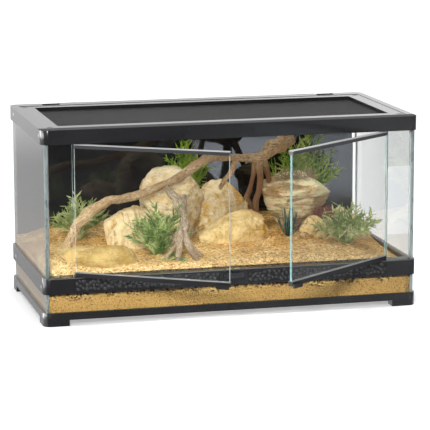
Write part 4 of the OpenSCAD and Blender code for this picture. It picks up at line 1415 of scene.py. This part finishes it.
class Surround:
    """A white studio: each kind of ray finds its own brightness in each direction."""

    def __init__(self, name, light):
        self.world = bpy.data.worlds.new(name)
        self.world.use_nodes = True
        self.nt = self.world.node_tree
        back = self.nt.nodes["Background"]
        back.inputs["Color"].default_value = (*light.tint, 1)
        ray = self.nt.nodes.new("ShaderNodeLightPath").outputs
        way = self.nt.nodes.new("ShaderNodeTexCoord")
        split = self.nt.nodes.new("ShaderNodeSeparateXYZ")
        self.nt.links.new(way.outputs["Generated"], split.inputs[0])
        self.x, self.y, self.z = split.outputs
        self.left = self.times(self.x, -1.0)
        soft = self.times(ray["Is Diffuse Ray"], light.ambient)
        # rays that pass glass count as glossy too, and are taken off
        glossy = self.most(self.less(ray["Is Glossy Ray"], ray["Is Transmission Ray"]), 0.0)
        passed = self.times(ray["Is Transmission Ray"], self.through())
        seen = self.times(self.plus(ray["Is Camera Ray"], passed), light.sky)
        total = self.plus(self.plus(soft, self.times(glossy, self.mirrored())), seen)
        self.nt.links.new(total, back.inputs["Strength"])

    def plus(self, a, b):
        return calc(self.nt, "ADD", a, b)

    def less(self, a, b):
        return calc(self.nt, "SUBTRACT", a, b)

    def times(self, a, b):
        return calc(self.nt, "MULTIPLY", a, b)

    def most(self, a, b):
        return calc(self.nt, "MAXIMUM", a, b)

    def fade(self, value, low, high, top=1.0):
        """Rises softly from 0 at low to top at high."""
        return remap(self.nt, value, low, high, 0.0, top, "SMOOTHSTEP")

    def mirrored(self):
        """What glass and gloss reflect."""
        behind = self.fade(self.y, -0.05, 0.5, 0.75)
        high_behind = self.times(behind, self.fade(self.z, 0.0, 0.12, 0.45))
        behind = self.times(behind, self.less(1.0, self.fade(self.left, 0.05, 0.16, 0.28)))
        low_left = self.times(self.fade(self.left, 0.05, 0.16),
                              self.fade(self.z, -0.165, -0.14, 0.44))
        behind = self.plus(behind, low_left)
        # a bright box, low on the left, on a wall that ends in front
        box = self.less(self.fade(self.z, -0.178, -0.14, 9.0), self.fade(self.z, 0.05, 0.15, 9.0))
        wall = self.times(self.fade(self.y, -0.5, -0.32), self.plus(box, 1.0))
        left = self.plus(self.times(self.fade(self.left, 0.3, 0.55), wall),
                         self.fade(self.left, 0.4, 0.8, 0.06))
        above = self.fade(self.z, 0.45, 0.9, 0.6)
        right = self.plus(self.fade(self.x, 0.2, 0.33, 0.35), 0.05)
        around = self.plus(self.most(self.most(behind, left), above), right)
        return self.plus(around, high_behind)

    def through(self):
        """What shows behind glass: white behind the case, less to its left and in front."""
        side = self.less(self.fade(self.x, -0.12, 0.0, 0.66), self.fade(self.x, 0.305, 0.322, 0.19))
        behind = self.times(self.fade(self.y, 0.2, 0.7), self.plus(side, 0.24))
        front_right = self.times(self.fade(self.y, -0.2, -0.45), self.fade(self.x, 0.4, 0.55, 0.8))
        far_left = self.times(self.fade(self.y, -0.1, 0.2), self.fade(self.left, 0.35, 0.55, 0.8))
        return self.most(self.most(behind, self.most(front_right, far_left)), 0.05)


class TERRARIUM_OT_stage(bpy.types.Operator):
    """Pale floor, soft lights and the camera"""
    bl_idname = "terrarium.stage"
    bl_label = "Stage"

    def execute(self, context):
        light = context.scene.terrarium_light
        below_feet = 0.0002
        bm = bmesh.new()
        bmesh.ops.create_circle(bm, cap_ends=True, segments=96, radius=0.95)
        mesh = finish_bmesh(bm, "studio_floor", False)
        floor = add_object("studio_floor", mesh, [finish("floor")])
        floor.data.transform(Matrix.Translation((0, 0, -below_feet)))
        floor.visible_glossy = floor.visible_transmission = False
        context.scene.world = Surround("Studio surround", light).world
        self.lamp("Key", (-0.95, -2.4, 1.12), (0, 0, 0.14), (0.45, 0.45), light.key)
        self.lamp("Top", (0.1, -0.1, 2.4), (0, 0, 0.1), (1.2, 1.2), light.key * 1.15)
        card = self.lamp("Front card", (1.73, -2.0, -0.185), (1.73, 0, -0.185), (2.4, 0.17),
                         light.card)
        card.visible_diffuse = False
        card.data.color = (0.84, 0.9, 1.0)
        fill = self.lamp("Left fill", (-2.2, -0.5, 0.35), (-0.2, 0, 0.1), (0.8, 0.5),
                         light.key * 0.5)
        fill.visible_glossy = fill.visible_transmission = False
        self.camera(context)
        context.scene.view_settings.view_transform = "Standard"
        return {"FINISHED"}

    def lamp(self, name, at, to, size, power):
        """A soft light of a size, at one place and turned to another."""
        data = bpy.data.lights.new(name, "AREA")
        data.shape = "RECTANGLE"
        data.size, data.size_y = size
        data.energy = power
        lamp = bpy.data.objects.new(name, data)
        bpy.context.scene.collection.objects.link(lamp)
        lamp.location = at
        lamp.rotation_euler = (Vector(to) - Vector(at)).to_track_quat("-Z", "Y").to_euler()
        return lamp

    def camera(self, context):
        """Stands, turns and frames as the camera of the photograph did."""
        place = Vector((-0.8657387, -3.4498973, 0.8029824))
        yaw, pitch, roll = 0.24805482, 0.18609913, -0.0030437
        focal_in_pixels, picture_in_pixels = 2241.82065, 430
        forward = Vector((math.sin(yaw) * math.cos(pitch), math.cos(yaw) * math.cos(pitch),
                          -math.sin(pitch)))
        right = Vector((math.cos(yaw), -math.sin(yaw), 0))
        up = right.cross(forward)
        r = right * math.cos(roll) + up * math.sin(roll)
        u = -right * math.sin(roll) + up * math.cos(roll)
        data = bpy.data.cameras.new("Camera")
        data.sensor_width = 36
        data.lens = focal_in_pixels * data.sensor_width / picture_in_pixels
        data.clip_end = 50
        cam = bpy.data.objects.new("Camera", data)
        cam.matrix_world = Matrix(((r.x, u.x, -forward.x, place.x),
                                   (r.y, u.y, -forward.y, place.y),
                                   (r.z, u.z, -forward.z, place.z), (0, 0, 0, 1)))
        context.scene.collection.objects.link(cam)
        context.scene.camera = cam


class TERRARIUM_PT_panel(bpy.types.Panel):
    """Lists the terrarium's sizes and its steps"""
    bl_label = "Terrarium"
    bl_idname = "TERRARIUM_PT_panel"
    bl_space_type = "VIEW_3D"
    bl_region_type = "UI"
    bl_category = "Terrarium"

    def draw(self, context):
        scene = context.scene
        for group in (scene.terrarium_glass, scene.terrarium_lid, scene.terrarium_bed,
                      scene.terrarium_light):
            box = self.layout.box()
            for key in group.__annotations__:
                box.prop(group, key)
        for step in STEPS:
            self.layout.operator(step.bl_idname)


STEPS = (TERRARIUM_OT_stage, TERRARIUM_OT_glass, TERRARIUM_OT_mouldings,
         TERRARIUM_OT_pebbled_panels, TERRARIUM_OT_screen, TERRARIUM_OT_sand,
         TERRARIUM_OT_stones, TERRARIUM_OT_wood, TERRARIUM_OT_plants)
GROUPS = {"terrarium_glass": TERRARIUM_PG_glass, "terrarium_lid": TERRARIUM_PG_lid,
          "terrarium_bed": TERRARIUM_PG_bed, "terrarium_light": TERRARIUM_PG_light}


def register():
    for cls in (*GROUPS.values(), *STEPS, TERRARIUM_PT_panel):
        bpy.utils.register_class(cls)
    for key, cls in GROUPS.items():
        setattr(bpy.types.Scene, key, PointerProperty(type=cls))


def unregister():
    for key in GROUPS:
        delattr(bpy.types.Scene, key)
    for cls in (TERRARIUM_PT_panel, *reversed(STEPS), *reversed(GROUPS.values())):
        bpy.utils.unregister_class(cls)


def main():
    register()
    for step in STEPS:
        area, name = step.bl_idname.split(".")
        getattr(getattr(bpy.ops, area), name)()


if __name__ == "__main__":
    main()
